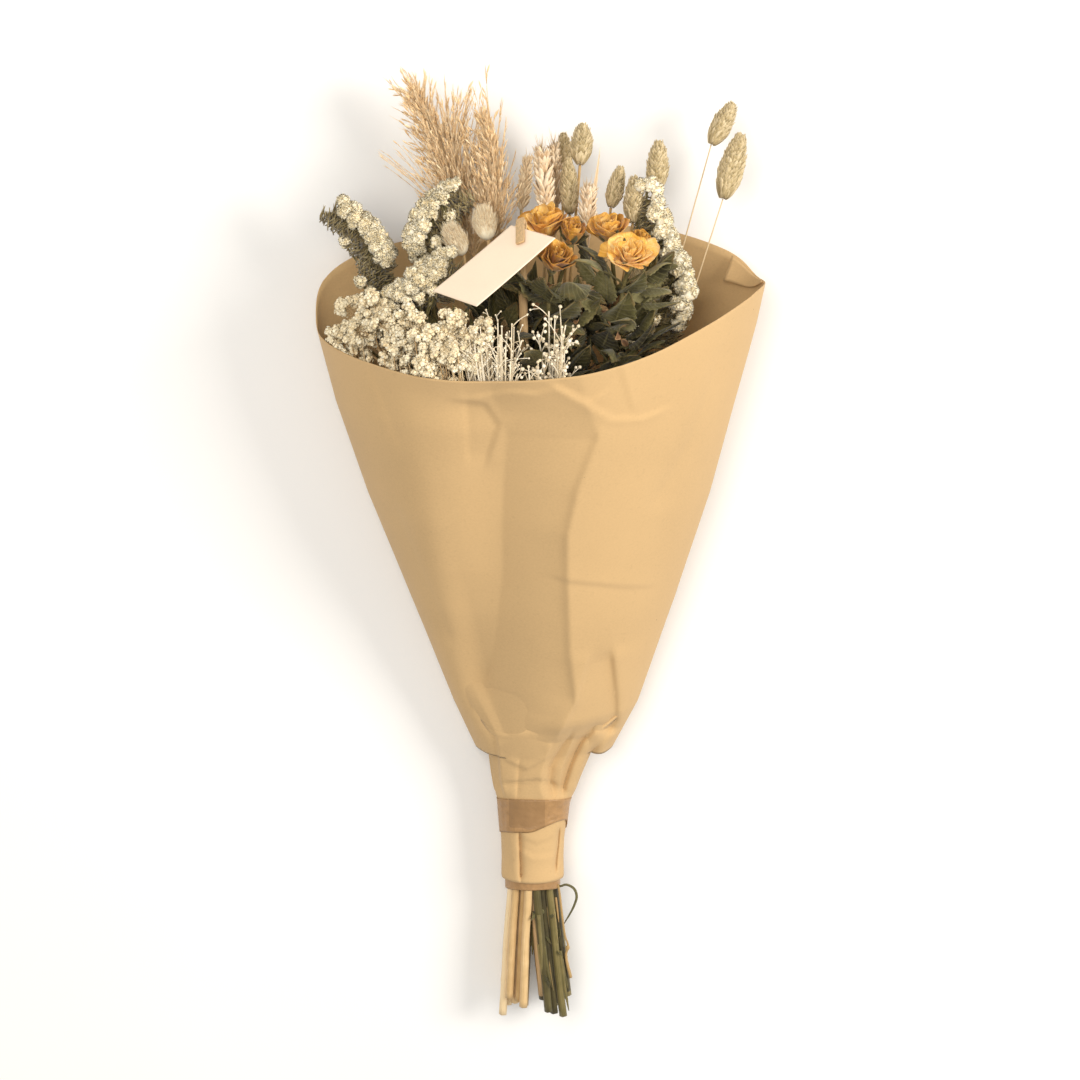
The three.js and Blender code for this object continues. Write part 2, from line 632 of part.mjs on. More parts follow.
// A rose's stem forks to its blooms, each on a green cup whose five sepals stand out like a star.
function roseStem(f, own, grow = 0) {
  const fork = at(f.at);
  return Manifold.union([stem(f, grow), ...own.map((b) => {
    const onAxis = (drop) => b.foot.clone().addScaledVector(b.axis, -drop);
    const from = fork.clone().addScaledVector(onAxis(5.5).sub(fork).normalize(), -1.5);
    return tube([from, onAxis(5.5), onAxis(2.8), onAxis(1.4), onAxis(0)],
      [f.thin, 1.1, 2.6, [8.5, 2.4], [1.8, 2.2]], 10, grow);
  })]);
}

// Leaves of a stem: how far before its fork, the turn round the stem, length and width.
const LEAVES = {
  rose_stem_1: [[8, 1.2, 28, 15], [32, 5.0, 30, 15]],
  rose_stem_2: [[4, 0.4, 27, 14], [16, 2.2, 32, 16], [34, 0.9, 30, 15]],
  rose_stem_3: [[8, 2.6, 28, 14], [36, 1.6, 32, 15]],
  rose_stem_4: [[4, 1.9, 28, 14], [18, 3.3, 32, 15], [34, 0.2, 30, 15]],
  leafy_stem: [[0, 1.4, 32, 16], [10, 3.0, 30, 14], [24, 0.4, 30, 14], [38, 2.0, 32, 16]],
};
function leavesOf(f) {
  return LEAVES[f.name].map(([before, turn, length, width], i) => {
    const base = stemPoint(f, f.at[1] - before);
    const tangent = stemPoint(f, f.at[1] - before + 4).sub(base).normalize();
    const [side, up] = across(tangent);
    const out = side.clone().multiplyScalar(Math.cos(turn)).addScaledVector(up, Math.sin(turn));
    const way = tangent.clone().multiplyScalar(0.8).addScaledVector(out, 0.6);
    return cut((g = 0) => leaf(base, way, out, length, width, 0.45 - 0.2 * (i % 2), g));
  });
}
for (const name of Object.keys(LEAVES)) {
  const own = BLOOMS.filter((b) => b.on === name);
  part(name, ROSE_GREEN, (g = 0) => roseStem(flower[name], own, g), leavesOf(flower[name]));
}

// --- grasses

// Canary grass and bunny tails: a stem and a dense oval head. Tip, radius, rows and relief.
const HEADS = {
  canary_grass_1: { tip: [25.0, 269.1, 50], radius: 6.2 },
  canary_grass_2: { tip: [13.8, 262, 34], radius: 5.0 },
  canary_grass_3: { tip: [16.3, 251, 52], radius: 5.2 },
  canary_grass_4: { tip: [69.2, 259.2, 50], radius: 6.4 },
  canary_grass_5: { tip: [47.1, 245.2, 50], radius: 5.0 },
  canary_grass_6: { tip: [54.5, 240.8, 60], radius: 5.6 },
  canary_grass_7: { tip: [113.0, 279.6, 32], radius: 6.0 },
  canary_grass_8: { tip: [117.6, 262.3, 38], radius: 7.2 },
  canary_grass_9: { tip: [58.3, 194.5, 74], radius: 5.6 },
  bunny_tail_1: { tip: [-33, 222, 73], radius: 8.2, tail: true },
  bunny_tail_2: { tip: [-52, 213, 78], radius: 7.8, tail: true },
};
for (const [name, { tip, radius, tail }] of Object.entries(HEADS)) {
  const [rows, relief] = tail ? [7, 0.16] : [8, 0.12];
  part(name, tail ? BUNNY : CANARY, (g = 0) => headedStem(flower[name], at(tip), radius, rows, relief, g));
}

// Ears: rows of plump grains that stand out by turns, with a few awns at the top.
const EARS = {
  wheat_ear_1: { tip: [0.6, 259.7, 60], rows: 14, plump: 5.6, color: WHEAT },
  wheat_ear_2: { tip: [8.1, 261, 46], rows: 12, plump: 4.2, color: WHEAT },
  wheat_ear_3: { tip: [28.3, 236, 62], rows: 10, plump: 5.2, color: WHEAT },
  reed_ear: { tip: [-6.5, 252, 42], rows: 12, plump: 3.2, color: PAMPAS },
};
for (const [name, ear] of Object.entries(EARS)) {
  const f = flower[name];
  const way = at(ear.tip).sub(at(f.at)).normalize();
  const awns = [];
  for (let k = 0; k < 5; k++) {
    const root = at(f.at).lerp(at(ear.tip), 0.62 + 0.07 * k);
    const out = leaning(way, 2.4 * k + 0.6, 0.36);
    awns.push(small((g = 0) => needle(root, out, way, 15, 0.55, g)));
  }
  part(name, ear.color, (g = 0) => headedStem(f, at(ear.tip), ear.plump, ear.rows, 0.3, g), awns);
}

// A long dry blade that grows from the third ear's stem.
const bladeRoot = stemPoint(flower.wheat_ear_3, 190);
parts.find((p) => p.name === 'wheat_ear_3').pieces.push(cut((g = 0) => {
  const tip = V(35, 255.7, 46);
  return plate([0, 0.3, 0.65, 1].map((t, i) => {
    const centre = bladeRoot.clone().lerp(tip, t).add(V(0, 0, -2.5 * Math.sin(Math.PI * t)));
    const half = [0.8, 1.5, 1.3, 0.4][i];
    return [centre.clone().add(V(half, 0, 0.3)), centre.clone().add(V(-half, 0, 0))];
  }), 0.7, g);
}));

// Pampas: a plume of bent branchlets on a ragged core along a curved axis.
const SUNK = 4;                     // the plume's foot is sunk this far in its stem
const TAPER = 0.6;                  // how much shorter its branchlets are at its tip
const PLUMES = {
  pampas_plume_left: {
    path: [[-38, 186, 40], [-47, 222, 39], [-60, 258, 38], [-77, 296, 40]],
    branchlets: 36, out: 0.72, length: 46, core: 9, seed: 11,
  },
  pampas_plume_right: {
    path: [[-27, 190, 48], [-26, 220, 50], [-27, 250, 50], [-33, 280, 48]],
    branchlets: 28, out: 0.55, length: 40, core: 7.5, seed: 23,
  },
};
for (const [name, plume] of Object.entries(PLUMES)) {
  const f = flower[name];
  const curve = new THREE.CatmullRomCurve3(plume.path.map(at));
  const rings = Array.from({ length: 8 }, (_, i) => {
    const t = (i + 0.6) / 8;
    const r = plume.core * Math.sin(Math.PI * Math.pow(t, 0.7)) ** 0.7;
    const pair = [1.35 * r, 0.65 * r];
    return { point: curve.getPoint(t), radius: i % 2 ? pair : pair.reverse() };
  });
  const tip = { point: curve.getPoint(1), radius: 0 };
  const start = { point: stemPoint(f, f.at[1] - SUNK), radius: f.thin };
  const core = (g = 0) => stem(f, g);
  const down = cut((g = 0) => along([start, ...rings, tip], 6, g));
  const random = draw(plume.seed);
  const hairs = [];
  for (let i = 0; i < plume.branchlets; i++) {
    const t = 0.04 + 0.86 * i / plume.branchlets;
    const tangent = curve.getTangent(t);
    const turn = 2.4 * i;
    const share = plume.out * (1 - 0.45 * t) * (0.6 + 0.7 * random());
    const way = leaning(tangent, turn, share);
    const root = curve.getPoint(t).addScaledVector(way, 2);
    const bend = leaning(tangent, turn + 0.4, share * 1.4).add(V(-0.06, 0, 0)).normalize();
    const length = plume.length * (0.75 + 0.45 * random()) * (1 - TAPER * t);
    hairs.push(small((g = 0) => needle(root, way, bend, length, 1.7, g)));
  }
  part(name, PAMPAS, core, [down, ...hairs]);
}

// --- statice

// Each spray: the crest its florets stand on and the way they face.
const SPRAYS = {
  statice_stem_1: {
    crest: [[-84, 178, 68], [-88, 196, 70], [-98, 213, 70], [-112, 226, 66]],
    face: [0.55, 0.55, 0.5],
  },
  statice_stem_2: {
    crest: [[-70, 192, 76], [-74, 208, 76], [-66, 226, 74], [-53, 238, 72]],
    face: [-0.6, 0.45, 0.55],
  },
  statice_stem_3: {
    crest: [[-92, 168, 86], [-79, 182, 92], [-64, 192, 94], [-54, 202, 92]],
    face: [-0.1, 0.5, 0.85],
  },
  statice_stem_4: {
    crest: [[84, 156, 62], [86, 180, 66], [76, 204, 68], [69, 232, 66]],
    face: [0.75, 0.25, 0.55],
  },
};
Object.entries(SPRAYS).forEach(([name, spray], n) => {
  const f = flower[name];
  const random = draw(5 + n);
  const crest = new THREE.CatmullRomCurve3(spray.crest.map(at));
  const face = at(spray.face).normalize();
  const below = (t, drop) => crest.getPoint(t).addScaledVector(face, -drop);

  // The cream florets: a ruffled crest of crowded ones with larger funnels standing on it.
  const rows = 15;
  const ruffle = (g = 0) => loft(Array.from({ length: rows + 1 }, (_, i) => {
    const t = i / rows;
    const tangent = crest.getTangent(t);
    const over = face.clone().cross(tangent).normalize();
    const swell = 0.45 + 0.55 * Math.sin(Math.PI * clamp(t, 0.08, 0.92)) ** 0.5;
    return [2.5, 1.5, 0.5, -0.5, -1.5, -2.5].map((k, j) => {
      const edge = j === 0 || j === 5;
      const raised = edge ? 0.35 : (i + j) % 2 ? 1.25 : 0.75;
      const lean = k * 0.62;
      return crest.getPoint(t)
        .addScaledVector(face, (7.4 * swell * raised + g) * Math.cos(lean) - 1 - (edge ? g : 0))
        .addScaledVector(over, (8.4 * swell * (edge ? 0.5 : raised) + g) * Math.sin(lean))
        .addScaledVector(tangent, g * (i === rows ? 1 : i === 0 ? -1 : 0));
    });
  }));
  const florets = [];
  for (let i = 0; i < 10; i++) {
    const t = (i + 0.6) / 10.4;
    const tangent = crest.getTangent(t);
    const over = face.clone().cross(tangent).normalize();
    const lean = 1.1 * Math.sin(2.3 * i + n);
    const way = face.clone().multiplyScalar(Math.cos(lean))
      .addScaledVector(over, Math.sin(lean)).normalize();
    const root = crest.getPoint(t).addScaledVector(way, 1);
    const [wide, deep, turn] = [3.6 + 0.9 * random(), 11 + 2 * random(), TAU * random()];
    florets.push(small((g = 0) => floret(root, way, wide, deep, turn, g)));
  }
  const ridge = (g = 0) => tube([0.1, 0.5, 0.9].map((t) => crest.getPoint(t)), [1, 1.2, 1], 4, g);
  part(name.replace('stem', 'florets'), STATICE_CREAM, ridge, [cut(ruffle), ...florets]);

  // Below the crest: a green branch with a brush of pointed bracts.
  const drop = 6.5;
  const branch = (g = 0) => along([
    ...stemRings(f),
    ...[0.1, 0.35, 0.6, 0.85].map((t, i) => (
      { point: below(t, drop), radius: i % 2 ? [2.6, 1.2] : [1.2, 2.6] })),
    { point: below(0.97, drop), radius: 0 },
  ], 6, g);
  // Short stalks carry the crest.
  const bracts = [0.15, 0.5, 0.8].map((t) => cut((g = 0) => (
    tube([below(t - 0.04, drop), crest.getPoint(t)], [0.9, 0.9], 4, g))));
  for (let i = 0; i < 12; i++) {
    const t = 0.04 + 0.8 * i / 12;
    const turn = 2.4 * i;
    const way = leaning(crest.getTangent(t).addScaledVector(face, 0.35).normalize(), turn, 0.85);
    const length = 13 + 4 * random();
    bracts.push(small((g = 0) => needle(below(t, drop), way, way, length, 1.3, g)));
  }
  part(name, STATICE_GREEN, branch, bracts);
});

// --- broom bloom and white buds: sprays of fine stalks that end in small heads

// The height of the paper's front sheet over a place, less the depth under it.
function underPaper(x, y, depth) {
  const { w, x: middle, side, top } = coneHeights(Math.min(y, 138));
  const share = clamp((x - middle) / w, -0.97, 0.97);
  return side + (top - side) * Math.pow(1 - share * share, 0.62) - depth;
}

// A ragged ball of small florets on a stalk's end, or a drop-shaped bud.
function starHead(centre, way, radius, sides, grow = 0) {
  const step = (along) => centre.clone().addScaledVector(way, along * radius);
  return tube([step(-0.9), step(-0.3), step(0.4), step(1)],
    [0, [radius * 1.15, radius * 0.6], [radius * 0.5, radius * 1.05], 0], sides, grow);
}

const FINE_SPRAYS = {
  broom_bloom_left: {
    cream: true, stalks: 8, from: [-119, 149], to: [-64, 176],
    deep: 9, size: 7.6, seed: 41,
  },
  broom_bloom_right: {
    cream: true, stalks: 7, from: [-68, 141], to: [-30, 172],
    deep: 9, size: 6.6, seed: 32,
  },
  white_bud_spray_left: {
    stalks: 7, from: [-28, 136], to: [-9, 168],
    deep: 8, size: 1.9, seed: 33,
  },
  white_bud_spray_right: {
    stalks: 7, from: [-6, 134], to: [16, 182],
    deep: 9, size: 2.1, seed: 34,
  },
};
for (const [name, spray] of Object.entries(FINE_SPRAYS)) {
  const f = flower[name];
  const random = draw(spray.seed);
  const pieces = [];
  for (let i = 0; i < spray.stalks; i++) {
    const x = lerp(spray.from[0], spray.to[0], (i + 0.5) / spray.stalks);
    const y = lerp(spray.from[1], spray.to[1], (i * 0.618) % 1);
    const tip = V(x, y, underPaper(x, y, spray.deep * (0.8 + 0.8 * random())));
    const root = stemPoint(f, f.at[1] - 4 - 30 * ((i * 0.382) % 1));
    const middle = root.clone().lerp(tip, 0.55).add(V(0, 4, -3));
    const way = tip.clone().sub(middle).normalize();
    pieces.push(small((g = 0) => tube([root, middle, tip], [0.9, 0.7, 0.6], 3, g)));
    for (let k = 0; k < 2; k++) {
      const aside = leaning(way, 2.1 * i + 1, 1);
      const centre = tip.clone().addScaledVector(way, -k * spray.size * 1.5)
        .addScaledVector(aside, k * spray.size * 0.6);
      const out = k ? leaning(way, 2.1 * i + 1, 0.9) : way;
      const size = spray.size * (0.85 + 0.3 * random());
      pieces.push(small((g = 0) => (spray.cream
        ? starHead(centre, out, size, 6, g)
        : bud(centre.clone().addScaledVector(out, -size), out, size, size * 4, 4, g))));
    }
  }
  part(name, spray.cream ? BROOM_CREAM : BUD_WHITE, (g = 0) => stem(f, g), pieces);
}

// ---------------------------------------------------------------- putting it together

const touches = (a, b) => [0, 1, 2].every((k) => a.min[k] <= b.max[k] && b.min[k] <= a.max[k]);
const boxed = (made) => ({ made, box: made.boundingBox() });
const joined = (pieces) => Manifold.union(pieces).asOriginal().simplify(FINEST);

// True where two points of a skin nearly fall together, as where two pieces graze each other.
function grazes(body) {
  const { vertProperties, numVert, numProp } = body.getMesh();
  const points = Array.from({ length: numVert }, (_, i) => (
    vertProperties.subarray(i * numProp, i * numProp + 3)));
  points.sort((a, b) => a[0] - b[0]);
  return points.some((p, i) => {
    for (let j = i + 1; j < numVert && points[j][0] - p[0] < NEAREST; j++) {
      if (Math.hypot(points[j][1] - p[1], points[j][2] - p[2]) < NEAREST) return true;
    }
    return false;
  });
}

for (const p of parts) {
  p.body = p.core();
  p.keepOff = [boxed(p.core(GAP))];
}
parts.forEach((p, index) => {
  const kept = [p.body];
  const blockers = parts.flatMap((q, j) => (j === index ? [] : j < index ? q.keepOff : [q.keepOff[0]]));
  for (const piece of p.pieces) {
    let made = piece.make();
    const near = boxed(made);
    const hit = blockers.filter((b) => touches(b.box, near.box) && made.intersect(b.made).volume() > 1e-4);
    if (hit.length && !piece.large) continue;
    for (const b of hit) made = made.subtract(b.made);
    // A piece that grazes another is nudged a little, a few times over, and then left out.
    const step = NUDGES.map((n) => [n, -0.6 * n, 0.8 * n])
      .find((move) => !grazes(joined([...kept, made.translate(move)])));
    if (!step) continue;
    kept.push(made.translate(step));
    p.keepOff.push(boxed(piece.make(GAP).translate(step)));
  }
  p.body = joined(kept).decompose().sort((a, b) => b.volume() - a.volume())[0];
});

// A three.js mesh of a finished body, with its own origin at the lowest corner of its box.
function meshOf(p) {
  const made = p.body.getMesh();
  const corner = at(p.body.boundingBox().min);
  const geometry = new THREE.BufferGeometry();
  const positions = new Float32Array(made.numVert * 3);
  for (let i = 0; i < made.numVert; i++) {
    positions.set(made.vertProperties.subarray(i * made.numProp, i * made.numProp + 3), i * 3);
  }
  geometry.setAttribute('position', new THREE.BufferAttribute(positions, 3));
  geometry.setIndex(new THREE.BufferAttribute(made.triVerts, 1));
  geometry.translate(-corner.x, -corner.y, -corner.z);
  geometry.computeVertexNormals();
  const mesh = new THREE.Mesh(geometry, p.material);
  mesh.name = p.name;
  mesh.position.copy(corner);
  return mesh;
}

const bouquet = new THREE.Group();
for (const p of parts) bouquet.add(meshOf(p));

export default bouquet;
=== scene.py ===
"""A mixed bouquet of dried flowers in a kraft paper wrap, dressed around its packed solids.

Shapes are worked out in millimetres and put into the meshes in metres. The bouquet lies on its back:
heads towards +Y, cut stems towards -Y, +Z up.
"""

from collections import namedtuple

import bpy
import numpy as np
from mathutils import Matrix, Vector
from numpy import (
    arange, array, clip, concatenate, cos, exp, linspace, maximum, minimum, pi, sin, stack)


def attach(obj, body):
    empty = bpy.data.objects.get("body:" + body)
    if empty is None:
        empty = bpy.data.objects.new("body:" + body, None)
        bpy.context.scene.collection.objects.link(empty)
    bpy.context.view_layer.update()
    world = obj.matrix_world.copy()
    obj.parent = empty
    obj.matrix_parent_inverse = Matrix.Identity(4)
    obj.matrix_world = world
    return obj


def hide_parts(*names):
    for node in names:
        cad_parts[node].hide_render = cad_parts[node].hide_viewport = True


bl_info = {
    "name": "Dried flower bouquet",
    "version": (1, 0, 0),
    "blender": (4, 5, 0),
    "location": "3D View > Sidebar > Bouquet",
    "description": "Makes a paper-wrapped bouquet of dried flowers, piece by piece",
    "category": "Object",
}

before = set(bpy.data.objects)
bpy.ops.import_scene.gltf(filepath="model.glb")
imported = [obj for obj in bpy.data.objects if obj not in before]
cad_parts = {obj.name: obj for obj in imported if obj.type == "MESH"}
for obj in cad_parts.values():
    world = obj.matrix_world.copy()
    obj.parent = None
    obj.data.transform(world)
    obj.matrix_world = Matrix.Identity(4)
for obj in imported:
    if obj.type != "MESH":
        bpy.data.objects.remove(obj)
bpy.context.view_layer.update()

MM = 0.001
TAU = 2 * pi

# ---- driving dimensions, millimetres

BUNDLE_AXIS = (-4.6, 19.6)  # x and z of the bound stems' middle
PITCH = 5.3  # between the axes of two neighbouring stems
STEM = 2.45  # a stem's radius in the bundle
FAN_FROM = -157  # the stems spread from here towards their heads
BOUND = -214  # and below here towards their cut ends
CUT_END = -299  # the longest stem's end
BEND = 50  # how gently they start to spread
SPLAY = (-3, 7.5, 0.2)  # lean of the left and right groups, and how far they open

# The paper cone: y, half width, middle x, height of its side creases, height of its top.
CONE = array((
    (-121, 42.5, 2.6, 18, 50),
    (-90, 57, 3.7, 20, 68),
    (-21, 81.5, 1.9, 26, 94),
    (46, 103.6, -0.6, 30, 117),
    (103, 119, -2.7, 35, 135),
    (150, 130, -2.4, 38, 147),
    (205, 141, -2, 42, 158),
))
# The gathered neck: y, half width, middle x, bottom height, top height.
NECK = array((
    (-214, 18.7, -4.6, 0.9, 38.2),
    (-181, 19.7, -4.6, 0.9, 38.2),
    (-157, 22, -4, 0.9, 38.4),
    (-140, 26.6, -2.2, 0.9, 40.5),
    (-121, 31.5, 0.5, 1.3, 45.5),
    (-104, 41, 2.5, 1.5, 54),
))
# The rim's height along Y, every 15 degrees round the cone from the right crease over the front.
RIM = (175, 175, 169.5, 160.4, 149.1, 141.2, 137, 134.6, 135.1, 138.5, 141.1, 143.5, 147, 169.5, 181.5,
       190, 195, 198, 200.4, 202.7, 202, 194.8, 187.5, 176, 175)
FLATTENED = 6
CURVED = (1.25, 0.9)  # how the cone's front and back bulge between its creases
HEM = -121
NECK_HEM = (-206, -1.2)  # and how much lower it hangs in front

# Every stem: where its head or first fork starts, its radius there, how far its foot is cut short,
# and its colour at the head (0 dark, 0.3 green, 0.6 tan, 1 pale straw).
STEMS = {
    "rose_stem_1": ((8, 172, 84), 1.3, 14, 0.3),
    "rose_stem_2": ((5, 181, 103), 1.3, 3, 0.3),
    "rose_stem_3": ((44, 174, 80), 1.3, 9, 0.28),
    "rose_stem_4": ((48, 184, 99), 1.3, 1, 0.3),
    "leafy_stem": ((26, 150, 72), 1.2, 16, 0.25),
    "pampas_plume_left": ((-38, 186, 40), 1.6, 6, 0.8),
    "pampas_plume_right": ((-27, 190, 48), 1.6, 12, 0.8),
    "wheat_ear_1": ((3.5, 217, 62), 1.1, 8, 0.9),
    "wheat_ear_2": ((9.5, 221, 46), 1, 14, 0.9),
    "wheat_ear_3": ((27, 208, 64), 1, 4, 0.9),
    "reed_ear": ((-11, 219, 44), 0.9, 10, 0.6),
    "canary_grass_1": ((23.3, 246.4, 50), 0.8, 15, 0.75),
    "canary_grass_2": ((14.6, 240.8, 34), 0.8, 11, 0.7),
    "canary_grass_3": ((17.5, 217.9, 54), 0.8, 2, 0.7),
    "canary_grass_4": ((67.7, 231.2, 50), 0.8, 12, 0.7),
    "canary_grass_5": ((41.4, 221.5, 52), 0.8, 7, 0.75),
    "canary_grass_6": ((54, 214, 62), 0.8, 13, 0.7),
    "canary_grass_7": ((100.4, 255.9, 34), 0.8, 5, 1.05),
    "canary_grass_8": ((107.5, 224.9, 40), 0.8, 9, 1.05),
    "canary_grass_9": ((54, 160, 78), 0.8, 16, 0.7),
    "bunny_tail_1": ((-30, 206, 72), 0.8, 11, 0.8),
    "bunny_tail_2": ((-44, 198, 76), 0.8, 8, 0.8),
    "statice_stem_1": ((-84, 172, 66), 1.3, 10, 0.35),
    "statice_stem_2": ((-66, 186, 72), 1.3, 5, 0.35),
    "statice_stem_3": ((-72, 160, 84), 1.2, 13, 0.35),
    "statice_stem_4": ((64, 150, 66), 1.3, 12, 0.1),
    "broom_bloom_left": ((-72, 118, 78), 1.2, 0, 0.8),
    "broom_bloom_right": ((-38, 112, 96), 1.2, 11, 0.8),
    "white_bud_spray_left": ((-22, 118, 104), 1.1, 9, 0.9),
    "white_bud_spray_right": ((6, 124, 108), 1.1, 6, 0.9),
    "card_stick": ((-9.6, 216, 106), 2.4, 15, 0.7),
}
STRAW = 0.95  # colour of the cut straws on the left
GREEN = (0.42, 0.1, 0.5, 0.34, 0.6, 0.2)  # colours of the cut stems on the right, by turns

CARD = (62.4, 41.3, 0.6)  # long side, short side, thickness
CARD_CORNER = array((-16.2, 220.5, 110))
CARD_LONG_WAY = array((-0.691, -0.532, 0.489))
CARD_SHORT_WAY = array((0.6, -0.043, 0.799))
PRONG = (5.2, 1.7, 25)  # the holder's prongs: width, thickness, length
GRIP_BEHIND = 7.5
GRIP_AT = 0.23
PRONG_WAY = (0.52, 0.6)
SLIT = 0.65

# Blooms: stem, middle, the way it faces, radius, height, how far its outer petals open.
BLOOMS = {
    "rose_bloom_1": ("rose_stem_1", (2.9, 217.9, 88), (-0.12, 0.93, 0.3), 13, 16, 3.2),
    "rose_bloom_2": ("rose_stem_1", (18.3, 213.5, 95), (0.15, 0.85, 0.45), 8, 15, 0.2),
    "rose_bloom_3": ("rose_stem_3", (39.6, 215, 90), (-0.1, 0.9, 0.35), 10.8, 16, 1.2),
    "rose_bloom_4": ("rose_stem_2", (9.1, 202, 113), (0.22, 0.72, 0.66), 10.2, 17, 1),
    "rose_bloom_5": ("rose_stem_4", (50.6, 203.3, 110), (0.05, 0.82, 0.55), 12.6, 14, 4),
    "rose_bloom_6": ("rose_stem_3", (57.5, 206.5, 82), (0.15, 0.92, 0.3), 6.8, 12, 0.4),
}
# Leaves of a stem: how far before its fork, the turn round the stem, length and width.
LEAVES = {
    "rose_stem_1": ((8, 1.2, 28, 15), (32, 5, 30, 15)),
    "rose_stem_2": ((4, 0.4, 27, 14), (16, 2.2, 32, 16), (34, 0.9, 30, 15)),
    "rose_stem_3": ((8, 2.6, 28, 14), (36, 1.6, 32, 15)),
    "rose_stem_4": ((4, 1.9, 28, 14), (18, 3.3, 32, 15), (34, 0.2, 30, 15)),
    "leafy_stem": ((0, 1.4, 32, 16), (10, 3, 30, 14), (24, 0.4, 30, 14), (38, 2, 32, 16)),
}
# Dense oval heads: tip and radius.
CANARY = {
    "canary_grass_1": ((25, 269.1, 50), 6.2),
    "canary_grass_2": ((13.8, 262, 34), 5),
    "canary_grass_3": ((16.3, 251, 52), 5.2),
    "canary_grass_4": ((69.2, 259.2, 50), 6.4),
    "canary_grass_5": ((47.1, 245.2, 50), 5),
    "canary_grass_6": ((54.5, 240.8, 60), 5.6),
    "canary_grass_7": ((113, 279.6, 32), 6),
    "canary_grass_8": ((117.6, 262.3, 38), 7.2),
    "canary_grass_9": ((58.3, 194.5, 74), 5.6),
}
BUNNY = {"bunny_tail_1": ((-33, 222, 73), 8.2), "bunny_tail_2": ((-52, 213, 78), 7.8)}
# Ears: tip, how far the grains stand out, rows of grains.
EARS = {
    "wheat_ear_1": ((0.6, 259.7, 60), 5.6, 11),
    "wheat_ear_2": ((8.1, 261, 46), 4.2, 10),
    "wheat_ear_3": ((28.3, 236, 62), 5.2, 8),
    "reed_ear": ((-6.5, 252, 42), 3.2, 13),
}
BLADE_TIP = (35, 255.7, 46)
# Plumes: path of the axis, branchlets, how far they stand out, their length, how far they lean along
# X, how much shorter they are at the tip, seed.
PLUMES = {
    "pampas_plume_left": (
        ((-38, 186, 40), (-47, 222, 39), (-60, 258, 38), (-77, 296, 40)),
        270, 0.72, 46, -0.06, 0.7, 11),
    "pampas_plume_right": (
        ((-27, 190, 48), (-26, 220, 50), (-27, 250, 50), (-33, 280, 48)),
        200, 0.55, 40, -0.2, 0.86, 23),
}
# Statice: the crest its florets stand on and the way they face.
SPRAYS = {
    "1": (((-84, 178, 68), (-88, 196, 70), (-98, 213, 70), (-112, 226, 66)), (0.55, 0.55, 0.5)),
    "2": (((-70, 192, 76), (-74, 208, 76), (-66, 226, 74), (-53, 238, 72)), (-0.6, 0.45, 0.55)),
    "3": (((-92, 168, 86), (-79, 182, 92), (-64, 192, 94), (-54, 202, 92)), (-0.1, 0.5, 0.85)),
    "4": (((84, 156, 62), (86, 180, 66), (76, 204, 68), (69, 232, 66)), (0.75, 0.25, 0.55)),
}
CREST_DROP = 6.5
CREST_FROM = {"1": 0.26, "2": 0.08, "3": 0, "4": 0}  # where along its crest a spray's florets start
# Where the inner flank of each branch lies from its crest, covered in bracts.
BRUSH = {"1": (-14, -6, -3), "2": (13, -10, -3), "3": (8, -13, -5), "4": (-14, -2, -3)}
# Smaller clusters on the inner side of each spray, and the way they face.
INNER_CLUSTERS = {
    "1": (((-113, 204, 64), (-104, 181, 70), (-98, 175, 72), (-104, 170, 70)), (-0.4, 0.5, 0.75)),
    "2": (((-53, 220, 70), (-52, 213, 70), (-60, 205, 76)), (0.2, 0.5, 0.8)),
    "3": (((-70, 176, 92), (-63, 181, 92), (-58, 190, 92)), (0.1, 0.4, 0.9)),
    "4": (((58, 236, 64), (64, 237, 65), (52, 158, 72), (57, 153, 74), (63, 150, 72), (60, 160, 70),
           (53, 148, 76), (66, 158, 68)), (-0.1, 0.6, 0.8)),
}
BLOOM_TONE = (0.02, -0.15, 0.12, -0.12, 0.3, -0.05)  # how pale each bloom is
# Sheaves of a plume: where they leave its axis, where they end, branchlets.
SHEAVES = {
    "pampas_plume_left": (
        (0.62, (-79.5, 301.9, 42), 2), (0.6, (-85.7, 293.5, 42), 3), (0.5, (-81.3, 280.8, 42), 4),
        (0.3, (-70.7, 261.8, 44), 9), (0.12, (-92.9, 251.9, 46), 4), (0.1, (-84, 247, 46), 7),
        (0.45, (-52.8, 293.2, 44), 7), (0.42, (-45.3, 283.6, 46), 10), (0.4, (-56, 279, 46), 12),
        (0.2, (-44, 262, 48), 12), (0.2, (-52, 258, 48), 12), (0.1, (-46, 240, 50), 12),
        (0.05, (-58, 240, 48), 10), (0.02, (-66, 246, 46), 8), (0.25, (-66, 272, 44), 10),
        (0.5, (-41, 284, 46), 10), (0.3, (-36, 270, 48), 10), (0.35, (-50, 268, 48), 10)),
    "pampas_plume_right": (
        (0.8, (-31.3, 301.5, 46), 1), (0.55, (-22.6, 282.1, 48), 2), (0.35, (-19.4, 269.3, 48), 2),
        (0.2, (-14.1, 253.9, 48), 2), (0.5, (-37.7, 285.5, 48), 6), (0.3, (-40, 268, 50), 10),
        (0.12, (-38, 250, 52), 10), (0.02, (-36, 234, 54), 9), (0.05, (-20, 240, 52), 6)),
}
